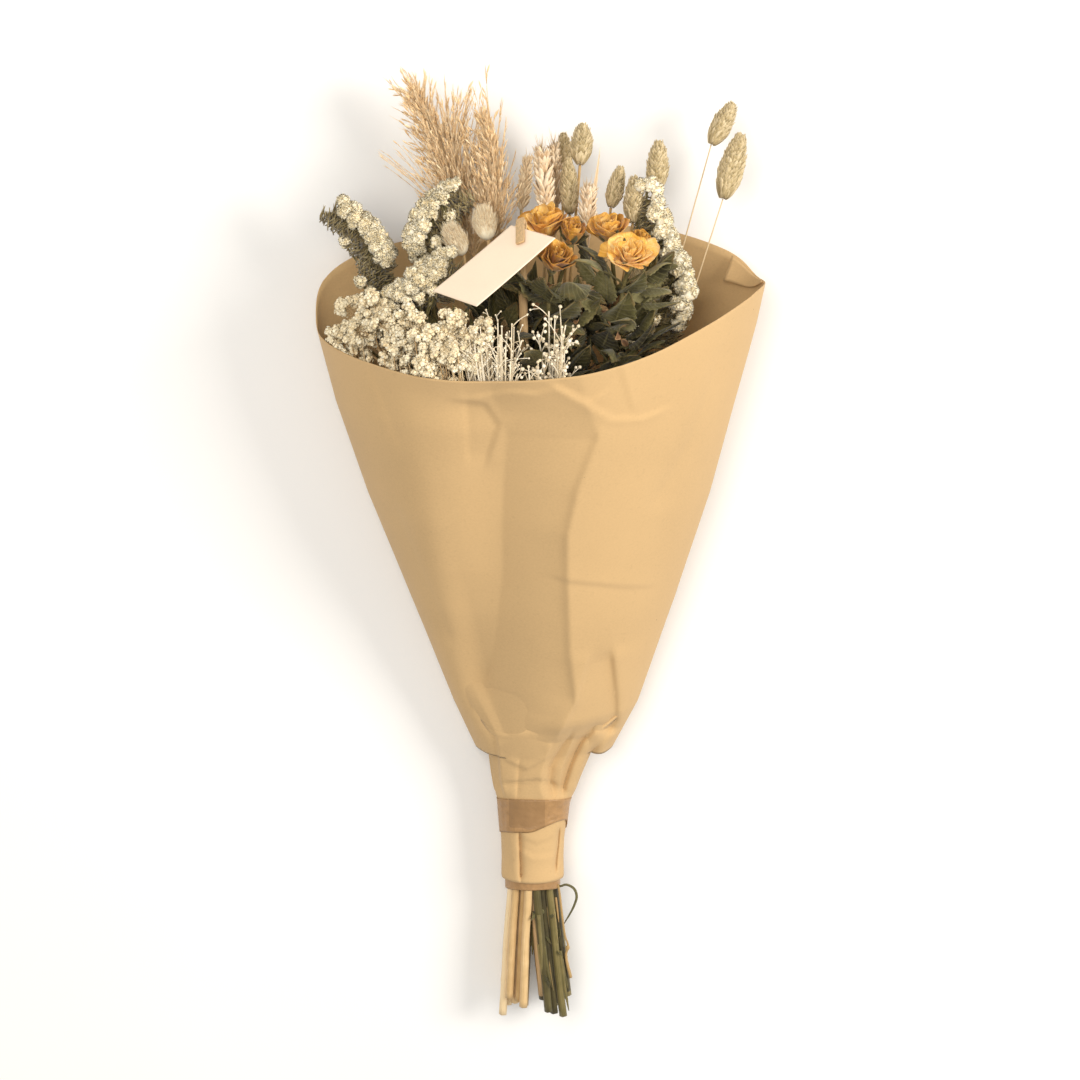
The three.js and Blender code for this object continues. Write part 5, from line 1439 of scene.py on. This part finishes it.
def make_ears(settings):
    """Ears of grain: husks in fans of four, by turns on the sides of the axis, with awns between."""
    stalk = stalk_finish()
    wheat = husk_finish("wheat_husk", (196, 160, 118), settings.wheat_colour, (250, 232, 204))
    reed = husk_finish("reed_husk", (196, 164, 124), (228, 200, 160), (246, 226, 190))
    # The finish, slot, husk, its full size, awns and the awns' length of the two kinds of ear.
    kinds = {"wheat": (wheat, "wheat", boat(9, 2.9, 1, 0.04, 6, 0.24), 5.6, 60, 1),
             "reed": (reed, "pampas", boat(6.5, 1.7, 0.6, 0.04, 6, 0.24), 3.2, 46, 0.75)}
    for k, (name, (tip, plump, rows)) in enumerate(EARS.items()):
        base, run, axis = head_frame(name, tip)
        finish, slot, husk, full, awns, long = kinds[name.split("_")[0]]
        heap = Heap(400 + k, name, 8)
        rng = heap.rng
        t = linspace(0, 0.98, 10)
        heap.add(tubes(base + t[:, None] * run, plump * 0.36 * (1.05 - t), 8), 0.3, 1)
        order = arange(rows * 3)
        t = (order[:, None] + 0.2) / len(order)
        turn = order % 2 * pi + order // 2 % 2 * 1.2 + 0.4
        size = plump / full * mixed(0.75, 1.1, sin(pi * (0.18 + 0.72 * t[:, 0])))
        for fan in (-0.9, -0.3, 0.3, 0.9):
            out = leaning(axis, turn + fan + rng.normal(0, 0.12, len(order)), 2)
            way = axis + out * (0.62 - 0.2 * t) + rng.normal(0, 0.08, (len(order), 3))
            origin = base + t * 0.84 * run + out * (plump * 0.2)
            heap.add(placed(husk, origin, way, out, size), (0, 1), 1)
        root = base + rng.uniform(0.05, 0.95, (awns, 1)) * run
        way = leaning(axis, rng.uniform(0, TAU, awns), rng.uniform(0.25, 0.6, awns))
        reach = rng.uniform(6, 10.5, (awns, 1)) * long
        path = stack([root, root + way * reach * 0.5, root + unit(way + axis * 0.4) * reach], 1)
        heap.add(tubes(path, (0.3, 0.2, 0.04), 3), (0.4, 1), 1)
        if name == "wheat_ear_3":
            heap.add(blade_skin(), 0.3, 1)
        heap.piece(name.replace("ear", "spike"), name, slot, stalk, finish)


def blade_skin():
    """A long dry blade beside the third ear: a narrow strip, channelled and twisted."""
    root = stem_points("wheat_ear_3", array((190,)))
    run = array(BLADE_TIP) - root
    shape = np.linalg.norm(run), 3.4, 0.5, 0.12, 0.9
    return plates(leaf_grid(None, root, run, (0, 0, 1), shape, 5, 30, 5), 0.35)


def sheaf(name, rng):
    """Branchlets of a plume beside those of its spiral: each sheaf leaves the axis at a share of
    its length and runs to an end point, spread a little more for every further branchlet."""
    starts, ends = [], []
    for share, end, many in SHEAVES[name]:
        starts.append(through(PLUMES[name][0], clip(share + rng.normal(0, 0.04, many), 0, 0.95)))
        ends.append(end + rng.normal(0, 1, (many, 3)) * (2.4, 3.4, 2.4) * min(many - 1, 4) / 3)
    start, end = concatenate(starts), concatenate(ends)
    reach = np.linalg.norm(end - start, axis=1, keepdims=True)
    return bezier(start, mixed(start, end, 0.5) + reach * (0, 0.1, 0.04), end, 9)


def make_pampas(settings):
    """Plumes: long branchlets that leave a curved axis and bend towards its tip, each set with
    close fine hairs and a few small flat spikelets; sheaves of them stand out at the sides."""
    stalk = stalk_finish()
    hair = hair_finish("pampas_hair", (190, 152, 104), settings.pampas_colour, (252, 230, 192))
    for name, (path, count, out_share, length, lean, taper, seed) in PLUMES.items():
        heap = Heap(seed, name)
        rng, order = heap.rng, arange(count)
        t = linspace(0, 0.97, 16)
        heap.add(tubes(through(path, t), 1.3 - 1.1 * t, 8), 0.3, 1)
        t = 0.02 + 0.86 * (order + rng.uniform(0, 1, count)) / count
        root, tangent = along_curve(path, t)
        turn, share = SPIRAL * order, out_share * (1 - 0.35 * t) * rng.uniform(0.15, 1.1, count)
        bend = unit(leaning(tangent, turn + 0.4, share * 1.1) + (lean, 0, 0))[:, None]
        way = unit(leaning(tangent, turn, share) + t[:, None] * (lean, 0, 0))[:, None]
        reach = (length * rng.uniform(0.62, 1.1, count) * (1 - taper * t))[:, None, None]
        s = linspace(0, 1, 9)[None, :, None]
        along = root[:, None] + (way * (s - s ** 2 / 2) + bend * s ** 2 / 2) * reach
        waves = [ripple(s[..., 0] * 4 + order[:, None], s[..., 0], seed + i) for i in range(3)]
        along = concatenate([along + stack(waves, -1) * s * 0.9, sheaf(name, rng)])
        heap.add(tubes(along, linspace(0.26, 0.12, 9), 3), (0.1, 0.7), 1)
        hairs_on(heap, along, settings.plume_hairs)
        heap.piece(name.replace("plume", "feathers"), name, "pampas", stalk, hair)


def hairs_on(heap, paths, each):
    """Fine hairs along each branchlet, lying close to it, and flat spikelets on some of them."""
    rng, count, last = heap.rng, len(paths) * each, paths.shape[1] - 1
    which = np.repeat(arange(len(paths)), each)
    place = rng.uniform(0.05, 0.995, count) * last
    low = minimum(place.astype(int), last - 1)
    a, b = paths[which, low], paths[which, low + 1]
    root, tangent = mixed(a, b, (place - low)[:, None]), unit(b - a)
    way = leaning(tangent, rng.uniform(0, TAU, count), rng.uniform(0.06, 0.36, count))
    reach = (rng.uniform(5, 10.5, count) * mixed(1, 0.55, place / last))[:, None]
    path = stack([root, root + unit(way + tangent * 0.6) * reach], 1)
    tone = clip(rng.uniform(0.1, 0.5, len(paths))[which] + rng.uniform(0, 0.6, count), 0, 1)
    heap.add(tubes(path, (0.2, 0.04), 3), tone, 1)
    some = rng.uniform(0, 1, count) < 0.1
    size = rng.uniform(0.7, 1.25, some.sum())
    flake = boat(4, 0.8, 0.2, 0.06, 4, 0.14)
    heap.add(placed(flake, path.mean(1)[some], way[some], None, size), (0.2, 0.9), 1)


# ---- statice

def crest_frame(path, face, t):
    """Points of the crest, its tangents, and the way across it, square to its face."""
    points, tangent = along_curve(path, t)
    return points, tangent, unit(np.cross(face, tangent))


def clustered(centres, outs, sizes, rng, each):
    """Florets of round clusters: each stands on a cap over its cluster's centre and looks away
    from it."""
    which = np.repeat(arange(len(centres)), each)
    out = unit(outs[which] * 0.62 + rng.normal(0, 0.62, (len(which), 3)))
    reach = sizes[which] * rng.uniform(0.84, 1.08, (len(which), 1))
    return centres[which] + out * (reach - 2.2), out + rng.normal(0, 0.28, (len(which), 3)), which


def make_statice(settings):
    """Crests of crowded round clusters of papery florets, each crest along the outer side of a
    green branch with a brush of narrow bracts, and a few smaller clusters inside."""
    stalk = stalk_finish()
    # the last colour is painted shade on the lower part of each floret
    cream = floret_finish("statice_cream", (230, 212, 172), settings.statice_colour, (255, 248, 228),
                          (242, 220, 166))
    green = hair_finish("statice_bract", (70, 56, 28), settings.bract_colour, (176, 160, 116))
    # A papery funnel with five pointed lobes: out to its rim and back down its inside.
    floret = spun(((0, 0), (0.5, 0.75), (1, 1.5), (0.5, 0.96), (0, 0.54)), 10, (1, 0.98, 0.72, 0.95, 1))
    for k, (number, (path, face)) in enumerate(SPRAYS.items()):
        heap = Heap(500 + k)
        rng, count = heap.rng, settings.statice_clusters
        face = unit(array(face, float))
        t = CREST_FROM[number] + (1 - CREST_FROM[number]) * (
            arange(count) + rng.uniform(0, 1, count)) / count
        lean = (arange(count) * 2.4 % 2.9 - 1.45 + rng.uniform(-0.15, 0.15, count))[:, None]
        points, tangent, over = crest_frame(path, face, t)
        swell = 0.62 + 0.38 * sin(pi * clip(t, 0.06, 0.94)) ** 0.5
        end = (smooth(0.86, 1, t) - smooth(0.14, 0, t))[:, None]
        out = unit(face * cos(lean) + over * sin(lean) + tangent * end)
        sizes = rng.uniform(3.4, 5, count) * swell * (1.2 if number == "4" else 1)
        centres = points + out * (rng.uniform(2.6, 5.2, count) * swell)[:, None] - face * 4.2
        more, way = (array(p, float) for p in INNER_CLUSTERS[number])
        centres = concatenate([centres, more])
        out = concatenate([out, np.broadcast_to(unit(way), more.shape)])
        sizes = concatenate([sizes, rng.uniform(3.6, 4.8, len(more))])[:, None]
        origin, way, which = clustered(centres, out, sizes, rng, settings.statice_florets)
        tone = rng.uniform(0.2, 0.8, len(centres))[which] * 0.5 + rng.uniform(0, 1, len(which)) * 0.5
        heap.add(placed(floret, origin, way, None, rng.uniform(1.15, 2.05, len(which))), tone)
        ball = stack([centres + out * sizes * share for share in (-0.8, -0.35, 0.35, 0.62)], 1)
        heap.add(tubes(ball, sizes * (0.4, 0.8, 0.78, 0.3), 7), 0.8)
        heap.piece("statice_crest_" + number, "statice_florets_" + number, "statice_cream", cream)
        statice_branch(number, path, face, more, rng, stalk, green)


def statice_branch(number, path, face, clusters, rng, stalk, green):
    """The branch under a crest: winged stalks that fan out to it and to its inner clusters, in a
    brush of bracts that also covers the inner flank of the branch."""
    name = "statice_stem_" + number
    heap, head, count = Heap(rng, name), stem_head(name), WINGED_STALKS
    inner = array(BRUSH[number], float)

    def spine(t):
        return crest_frame(path, face, t)[0] - face * CREST_DROP

    line = concatenate([head[None], spine(linspace(0, 0.97, 12))])
    heap.add(tubes(line, linspace(1.3, 0.5, 13), 8), 0.3)
    t = rng.uniform(0.02, 0.98, count)
    top, tangent, over = crest_frame(path, face, t)
    top = top - face * 3 + over * rng.uniform(-4, 4, (count, 1))
    low = mixed(head, spine(clip(t * 0.8, 0, 1)), rng.uniform(0.45, 0.95, (count, 1)))
    low = low + inner * rng.uniform(0.2, 0.6, (count, 1))
    bow = stack([low, mixed(low, top, 0.5) + inner * 0.12, top], 1)
    heap.add(tubes(bow, (0.75, 0.6, 0.5), 4), 0.28)
    foot = stem_points(name, head[1] - 6)
    bow = bezier(foot, mixed(foot, clusters, 0.5) + inner * 0.3, clusters - face * 2, 7)
    heap.add(tubes(bow, linspace(0.9, 0.6, 7), 5), 0.28)
    count = BRACTS
    t = rng.uniform(-0.3, 0.97, count)
    root, tangent, over = crest_frame(path, face, clip(t, 0, 1))
    aside = rng.uniform(0, 1, (count, 1)) ** 0.8
    root = (root - face * (CREST_DROP - 1.5) + tangent * minimum(t, 0)[:, None] * 45
            + inner * aside + rng.normal(0, 1.3, (count, 3)))
    way = leaning(unit(tangent * 0.5 + face * 0.5 - unit(inner) * 0.9), rng.uniform(0, TAU, count),
                  rng.uniform(0.2, 0.8, count))
    half = rng.uniform(4.5, 9.5, (count, 1)) * 0.5
    knee = root + way * half
    bract = stack([root, knee, knee + unit(way + face * 0.35) * half], 1)
    tone = clip(0.15 + 0.3 * aside[:, 0] + rng.uniform(-0.15, 0.5, count), 0, 1)
    heap.add(tubes(bract, (0.3, 0.5, 0.05), 4, 0.45), tone, 1)
    heap.piece("statice_branch_" + number, name, "statice_green", stalk, green)


# ---- broom bloom and white buds

def under_paper(x, y, depth):
    """The height of the paper's front over a place, less the depth under it."""
    w, middle, side, top = read(CONE, minimum(y, 138))
    share = clip((x - middle) / w, -0.97, 0.97)
    return side + (top - side) * (1 - share * share) ** 0.62 - depth


def held_under(points):
    """Places pushed down under the paper's front where they lie below its rim."""
    x, y, z = np.moveaxis(points, -1, 0)
    return joined(x, y, np.where(y < 150, minimum(z, under_paper(x, y, 5)), z))


def spray_stalks(name):
    """The main stalks of a fine spray, drawn as for the solids: each one's root, middle, tip, the
    place of its second head, and its way. Of three draws for a stalk the first sets its depth."""
    stalks, low, high, deep, size, seed = FINE_SPRAYS[name][:-1]
    for i, draw in enumerate(draws(seed, 3 * stalks)[::3]):
        x, y = mixed(low[0], high[0], (i + 0.5) / stalks), mixed(low[1], high[1], i * 0.618 % 1)
        tip = array((x, y, float(under_paper(x, y, deep * (0.8 + 0.8 * draw)))))
        root = stem_points(name, stem_head(name)[1] - 4 - 30 * (i * 0.382 % 1))
        middle = mixed(root, tip, 0.55) + (0, 4, -3)
        way = unit(tip - middle)
        second = tip - way * size * 1.5 + leaning(way, 2.1 * i + 1, 1) * size * 0.6
        yield root, middle, tip, second, way


def foot_scraps(heap, paint):
    """Beside the cut green stems: torn strips that cling to them, bits of leaf, a looped blade and
    a straw with a knot."""
    rng = np.random.default_rng(90)
    t = linspace(0, 1, 40)
    thick = 0.85 * sin(pi * mixed(0.12, 0.97, t)) ** 0.5
    heap.add(tubes(through(FOOT_BLADE, t), thick, 6, 0.3), 0.75, paint)
    thick = 0.55 + 0.75 * exp(-((t - 0.66) / 0.04) ** 2) + 0.3 * ripple(t * 9, 0, 4)
    heap.add(tubes(through(FOOT_STRAW, t), abs(thick) + 0.2, 7), 0.68)
    right = [name for name in STEMS if SLOTS[name][0] > -0.1]
    s = linspace(0, 1, 12)
    for name in right:
        foot = CUT_END + STEMS[name][2]
        for _ in range(3):
            high = rng.uniform(mixed(BOUND, foot, 0.6), BOUND - 4)
            low = max(high - rng.uniform(14, 42), foot - 1)
            turn = rng.uniform(0, pi)
            curl = (STEM + 0.15 + rng.uniform(0.3, 2.2) * s ** 3)[:, None]
            path = stem_points(name, mixed(high, low, s)) + curl * (cos(turn), 0, sin(turn))
            path[:, 0] += rng.uniform(-2, 3) * s ** 2
            thick = rng.uniform(0.6, 1.3) * (1 - s ** 4 * 0.8)
            heap.add(tubes(path, thick, 5, 0.3), rng.uniform(0.2, 0.75))
    count = 26
    at = array([stem_points(right[k % len(right)], rng.uniform(-268, -226)) for k in range(count)])
    way = rng.normal(0, 1, (count, 3)) * (0.5, 1, 0.4) + (0.2, -0.4, 0.5)
    face = unit(rng.normal(0, 1, (count, 3)) + (0, 0, 1.5))
    shape = (3.5, 9), (1.4, 3.4), (0.2, 0.9), (-1.5, 1.5), (-2, 2)
    bits = leaf_grid(rng, at + (0, 0, STEM), way, face, shape, 11, 9, 5)
    heap.add(plates(bits, 0.3), rng.uniform(0.2, 1, count), paint)


def bezier(a, b, c, count=8):
    """Curves from a to c that bend towards b, as (copies, count, 3)."""
    s = linspace(0, 1, count)[:, None]
    a, b, c = (p[:, None] for p in np.broadcast_arrays(a, b, np.atleast_2d(c)))
    return a * (1 - s) ** 2 + 2 * b * s * (1 - s) + c * s ** 2


def uprights(name, rng):
    """Thin upright stalks along the front, from below the rim to their tips: curves and the places
    of their tips."""
    left, right, many = FINE_SPRAYS[name][-1]
    share = rng.uniform(0, 1, many)
    x, y = mixed(left[0], right[0], share), mixed(left[1], right[1], share) + rng.uniform(-22, 8, many)
    tip = joined(x, y, under_paper(x, y, rng.uniform(3, 16, many)))
    root = stem_points(name, stem_head(name)[1] - rng.uniform(4, 24, many))
    knee = joined(mixed(x, root[:, 0], 0.14), 112 + rng.uniform(-8, 8, many), tip[:, 2] - 5)
    return bezier(root, knee, tip, 9), tip


def make_broom(settings):
    """Broom bloom: clouds of tiny star-shaped florets in round clumps, each clump on a thin stalk
    from a fork, over pale upright stalks."""
    stalk = stalk_finish()
    # the last colour is painted shade on the lower part of each floret
    cream = floret_finish("broom_cream", (240, 216, 170), settings.broom_colour, (255, 248, 224),
                          (242, 216, 162))
    star = spun(((0, 0), (1, 0.6), (0.45, 0.42), (0, 0.3)), 10, (1, 0.5, 0.7, 1))
    count = settings.broom_clumps
    for k, name in enumerate(("broom_bloom_left", "broom_bloom_right")):
        size = FINE_SPRAYS[name][4]
        heap = Heap(600 + k, name)
        rng = heap.rng
        path, tip = uprights(name, rng)
        heap.add(tubes(path, linspace(0.5, 0.3, 9), 4), (0.8, 1.1))
        clumps = [tip + rng.normal(0, 1.2, tip.shape)]
        for root, middle, tip, second, way in spray_stalks(name):
            heap.add(tubes(bezier(root, middle, tip - way * size * 0.4, 12), 0.55, 5), 0.85)
            for centre in (tip, second):
                direction = unit(rng.normal(0, 1, (count, 3)) + way * 0.5)
                far = rng.uniform(0.3, 1.1, (count, 1)) ** 0.6 * size
                end = centre + direction * far * (1.15, 1.15, 0.9)
                start = mixed(middle, centre, rng.uniform(0.4, 0.95, (count, 1)))
                heap.add(tubes(bezier(start, mixed(start, centre, 0.7), end, 5), 0.2, 3), (0.8, 1))
                clumps.append(end)
        centres = concatenate(clumps)
        which = np.repeat(arange(len(centres)), settings.broom_florets)
        many = len(which)
        direction = unit(rng.normal(0, 1, (many, 3)) + (0, 0.35, 0.55))
        end = centres[which] + direction * rng.uniform(1.2, 2.6, (many, 1))
        ball = centres[:, None] + array((-1.9, -1.1, 0.9, 1.7))[:, None] * (0, 0.5, 0.85)
        heap.add(tubes(ball, (0.5, 1.7, 1.8, 0.6), 6), 0.9, 1)
        stars = placed(star, end, direction + (0, 0.2, 0.3), None, rng.uniform(0.9, 1.7, many))
        tone = rng.uniform(0.2, 0.8, len(centres))[which] * 0.6 + rng.uniform(0, 0.4, many)
        heap.add(stars, tone, 1)
        heap.piece(name.replace("bloom", "cloud"), name, "broom_cream", stalk, cream)


def fill_leaves(heap, paint):
    """Dry upright leaves and bracts behind the fine sprays, which close the cone to its back."""
    rng = heap.rng
    for kind, (count, long, wide) in enumerate(FILLING):
        x = mixed(-92, 8, rng.uniform(0, 1, count) ** 0.7)
        y = rng.uniform(112, 150, count) + 16 * smooth(-50, -25, x)
        base = joined(x, y, rng.uniform(44, 76, count))
        way = rng.normal(0, 0.3, (count, 3)) + (0, 1, 0.25)
        face = unit(rng.normal(0, 0.5, (count, 3)) + (0, 0, 1))
        shape = long, wide, (0.1, 0.7), (-0.8, 1), (-1, 1)
        grid = leaf_grid(rng, base, way, face, shape, 33 + kind, 11, 5)
        heap.add(plates(grid, 0.35), (0, 1), paint + kind)
    foot = stem_points("white_bud_spray_left", 90)
    heap.add(tubes(bezier(foot, mixed(foot, base, 0.6) - (0, 0, 6), base, 6), 0.45, 4), 0.3)


def make_buds(settings):
    """White sprays: fine pale stems that fork twice, each end a drop-shaped bud."""
    # the last colour is painted shade on the lower part of each bud
    pale = floret_finish(
        "white_bud", (226, 208, 172), settings.bud_colour, (250, 240, 218), (226, 204, 160))
    stalk, leaf = stalk_finish(), leaf_finish(settings)
    dry = husk_finish("dry_filling", (88, 62, 36), (136, 104, 66), (190, 160, 112), 5)
    drop = spun(((0, 0), (0.32, 0.12), (0.8, 0.45), (1, 0.95), (0.86, 1.5), (0.42, 1.95), (0, 2.1)), 7)
    for k, name in enumerate(("white_bud_spray_left", "white_bud_spray_right")):
        size, long = (0.52, 0.8) if name.endswith("left") else (0.95, 1)
        heap = Heap(700 + k, name)
        rng = heap.rng

        def buds(tips, ways, low, high):
            scale = size * rng.uniform(low, high, len(tips))
            heap.add(placed(drop, tips, ways, None, scale), (0.2, 1), 1)

        path, tip = uprights(name, rng)
        heap.add(tubes(path, linspace(0.5, 0.34, 9), 4), (0.3, 1), 1)
        buds(tip, path[:, -1] - path[:, -2], 0.85, 1.35)
        if name.endswith("left"):
            fill_leaves(heap, 2)
        main = array([row[:3] for row in spray_stalks(name)]).transpose(1, 0, 2)
        heap.add(tubes(bezier(*main, 12), linspace(0.7, 0.45, 12), 5), 0.8, 1)
        stems = concatenate([path[:, ::2], bezier(*main, 5)])
        count = 5 * len(stems)
        which = np.repeat(arange(len(stems)), 5)
        low = rng.integers(1, 4, count)
        start = mixed(stems[which, low], stems[which, low + 1], rng.uniform(0, 1, (count, 1)))
        way = leaning(unit(stems[which, -1] - stems[which, -2]), rng.uniform(0, TAU, count),
                      rng.uniform(0.25, 0.75, count))
        end = held_under(start + way * rng.uniform(6, 18, (count, 1)) * long)
        twig = bezier(start, mixed(start, end, 0.5) + (0, 1.6, 0), end, 6)
        heap.add(tubes(twig, linspace(0.34, 0.26, 6), 4), (0.3, 1), 1)
        last = unit(end - twig[:, -2])
        buds(end - last * 0.3, last, 0.85, 1.35)
        start, way = twig[:, 3], leaning(last, rng.uniform(0, TAU, count), rng.uniform(0.4, 0.8, count))
        end = held_under(start + way * rng.uniform(3, 7, (count, 1)))
        short = bezier(start, mixed(start, end, 0.5) + last, end, 4)
        heap.add(tubes(short, 0.24, 3), (0.3, 1), 1)
        buds(end - way * 0.3, way, 0.7, 1.15)
        heap.piece(name.replace("spray", "cluster"), name, "bud_white", stalk, pale, leaf, dry)


# ---- stage

def make_stage(settings):
    """A pale floor, two large soft lights, a white surround and the camera over the bouquet."""
    scene = bpy.context.scene
    mesh = bpy.data.meshes.new("floor")
    corners = [(FLOOR_HALF * x, FLOOR_HALF * y, FLOOR) for x, y in ((-1, -1), (1, -1), (1, 1), (-1, 1))]
    mesh.from_pydata(corners, [], [(0, 1, 2, 3)])
    f = Finish("floor", 0.9, 0, 0.1)
    mesh.materials.append(f.done(f.ramp(
        f.noise(3, 2), (0.3, Vector((0.88, 0.875, 0.865))), (0.7, Vector((0.91, 0.905, 0.895))))))
    floor = linked("floor", mesh)

    world = bpy.data.worlds.new("surround")
    world.use_nodes = True
    background = world.node_tree.nodes["Background"]
    background.inputs["Color"].default_value = SURROUND_COLOUR
    background.inputs["Strength"].default_value = settings.surround
    scene.world = world
    scene.view_settings.view_transform = "Standard"
    target = Vector(LOOK_AT) * MM
    for name, place, size, share in LIGHTS:
        light = bpy.data.lights.new(name, "AREA")
        light.energy = settings.key_power * share
        light.size = size
        light.color = LIGHT_COLOUR
        lamp = linked(name, light)
        lamp.location = place
        lamp.rotation_euler = (Vector(place) - target).to_track_quat("Z", "Y").to_euler()

    tilt = np.radians(TILT)
    back = Vector((0, sin(tilt), cos(tilt)))
    up = Vector((0, cos(tilt), -sin(tilt)))
    camera = linked("camera", bpy.data.cameras.new("camera"))
    camera.data.lens = LENS
    camera.data.sensor_width = SENSOR
    turned = Matrix((up.cross(back), up, back)).transposed().to_4x4()
    camera.matrix_world = Matrix.Translation(target + back * DISTANCE * MM) @ turned
    scene.camera = camera


# ---- settings, operators and panel

def colour_property(name, thing, colour):
    """The colour of a thing, given as seen on a screen."""
    return bpy.props.FloatVectorProperty(
        name=name, description="Colour of the " + thing, subtype="COLOR", size=3, min=0, max=1,
        default=tint(*colour))


def length_property(name, text, metres):
    """A length in metres."""
    return bpy.props.FloatProperty(
        name=name, description=text, default=metres, unit="LENGTH", subtype="DISTANCE")


def share_property(name, text, share):
    """A factor."""
    return bpy.props.FloatProperty(name=name, description=text, default=share, subtype="FACTOR")


def count_property(name, text, count):
    """A count, at least two."""
    return bpy.props.IntProperty(name=name, description=text, default=count, min=2)


class WrapSettings(bpy.types.PropertyGroup):
    """Sizes and colours of the paper and what binds it."""

    sheet: length_property("Paper", "Thickness of the paper", 0.0005)
    crease: share_property("Creases", "Depth of the creases in the front", 1)
    valley: length_property("Valley", "Depth of the long valley in the front", 0.0165)
    crumple: share_property("Crumple", "Depth of the fine crumples", 1)
    speckle: share_property("Specks", "How dark the specks in the paper are", 0.75)
    wrinkle: share_property("Wrinkles", "Depth of the wrinkles in the tape", 0.6)
    bow: length_property("Card bow", "How far the card's free corner bends up", 0.0012)
    paper_colour: colour_property("Kraft", "paper", (200, 167, 120))
    tape_colour: colour_property("Tape", "tape", (168, 129, 84))
    card_colour: colour_property("Card", "card", (252, 230, 204))
    wood_colour: colour_property("Wood", "holder", (206, 172, 126))
    rubber_colour: colour_property("Rubber", "rubber band", (186, 140, 88))


class FlowerSettings(bpy.types.PropertyGroup):
    """Colours and counts of the dried flowers."""

    rose_colour: colour_property("Rose", "rose petals", (214, 152, 44))
    leaf_colour: colour_property("Leaf", "rose leaves", (100, 94, 52))
    canary_colour: colour_property("Canary grass", "canary grass", (200, 178, 132))
    wheat_colour: colour_property("Wheat", "wheat", (236, 208, 168))
    pampas_colour: colour_property("Pampas", "plumes", (244, 208, 154))
    statice_colour: colour_property("Statice", "papery florets", (250, 238, 206))
    bract_colour: colour_property("Bracts", "bracts under the florets", (122, 104, 60))
    broom_colour: colour_property("Broom bloom", "small florets", (254, 238, 202))
    bud_colour: colour_property("Buds", "white buds and their stems", (240, 224, 192))
    plume_hairs: count_property("Plume hairs", "Hairs on each branchlet", 25)
    side_leaves: count_property("Side leaves", "Smaller leaves on each stem", 24)
    statice_clusters: count_property("Statice clusters", "Clusters of florets on each crest", 40)
    statice_florets: count_property("Statice florets", "Florets in each cluster", 24)
    broom_clumps: count_property("Broom clumps", "Clumps of florets round each fork", 14)
    broom_florets: count_property("Broom florets", "Florets in each clump", 17)


class StageSettings(bpy.types.PropertyGroup):
    """Light of the studio."""

    surround: share_property("Surround", "Strength of the white surround", 0.52)
    key_power: bpy.props.FloatProperty(
        name="Key light", description="Power of the key light", default=33, unit="POWER")


def piece_operator(label, make, settings):
    """An operator that makes one group of pieces from one group of settings."""

    def execute(self, context):
        make(getattr(context.scene, settings))
        return {"FINISHED"}

    name = make.__name__.replace("make_", "")
    return type("BOUQUET_OT_" + name, (bpy.types.Operator,), {
        "__doc__": make.__doc__, "bl_idname": "bouquet." + name, "bl_label": label, "execute": execute})


OPERATORS = [piece_operator(label, make, group) for group, rows in (
    ("bouquet_wrap", (
        ("Paper wrap", make_wrap), ("Tapes and band", make_bindings), ("Card", make_card),
        ("Card holder", make_holder))),
    ("bouquet_flowers", (
        ("Rose blooms", make_roses), ("Rose foliage", make_foliage), ("Canary grass", make_canary),
        ("Bunny tails", make_bunny), ("Ears", make_ears), ("Pampas", make_pampas),
        ("Statice", make_statice), ("Broom bloom", make_broom), ("White buds", make_buds))),
    ("bouquet_stage", (("Stage", make_stage),)),
) for label, make in rows]


class BOUQUET_PT_panel(bpy.types.Panel):
    """Lists the operators that make the bouquet and their settings."""

    bl_label = "Dried flower bouquet"
    bl_idname = "BOUQUET_PT_panel"
    bl_space_type = "VIEW_3D"
    bl_region_type = "UI"
    bl_category = "Bouquet"

    def draw(self, context):
        for operator in OPERATORS:
            self.layout.operator(operator.bl_idname)
        for name in GROUPS:
            settings = getattr(context.scene, name)
            for key in settings.__annotations__:
                self.layout.prop(settings, key)


GROUPS = {
    "bouquet_wrap": WrapSettings, "bouquet_flowers": FlowerSettings, "bouquet_stage": StageSettings}


def register():
    for kind in (*GROUPS.values(), *OPERATORS, BOUQUET_PT_panel):
        bpy.utils.register_class(kind)
    for name, kind in GROUPS.items():
        setattr(bpy.types.Scene, name, bpy.props.PointerProperty(type=kind))


def unregister():
    for name in GROUPS:
        delattr(bpy.types.Scene, name)
    for kind in (BOUQUET_PT_panel, *reversed(OPERATORS), *reversed(GROUPS.values())):
        bpy.utils.unregister_class(kind)


def main():
    register()
    for operator in OPERATORS:
        group, name = operator.bl_idname.split(".")
        getattr(getattr(bpy.ops, group), name)()
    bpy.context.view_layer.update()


if __name__ == "__main__":
    main()
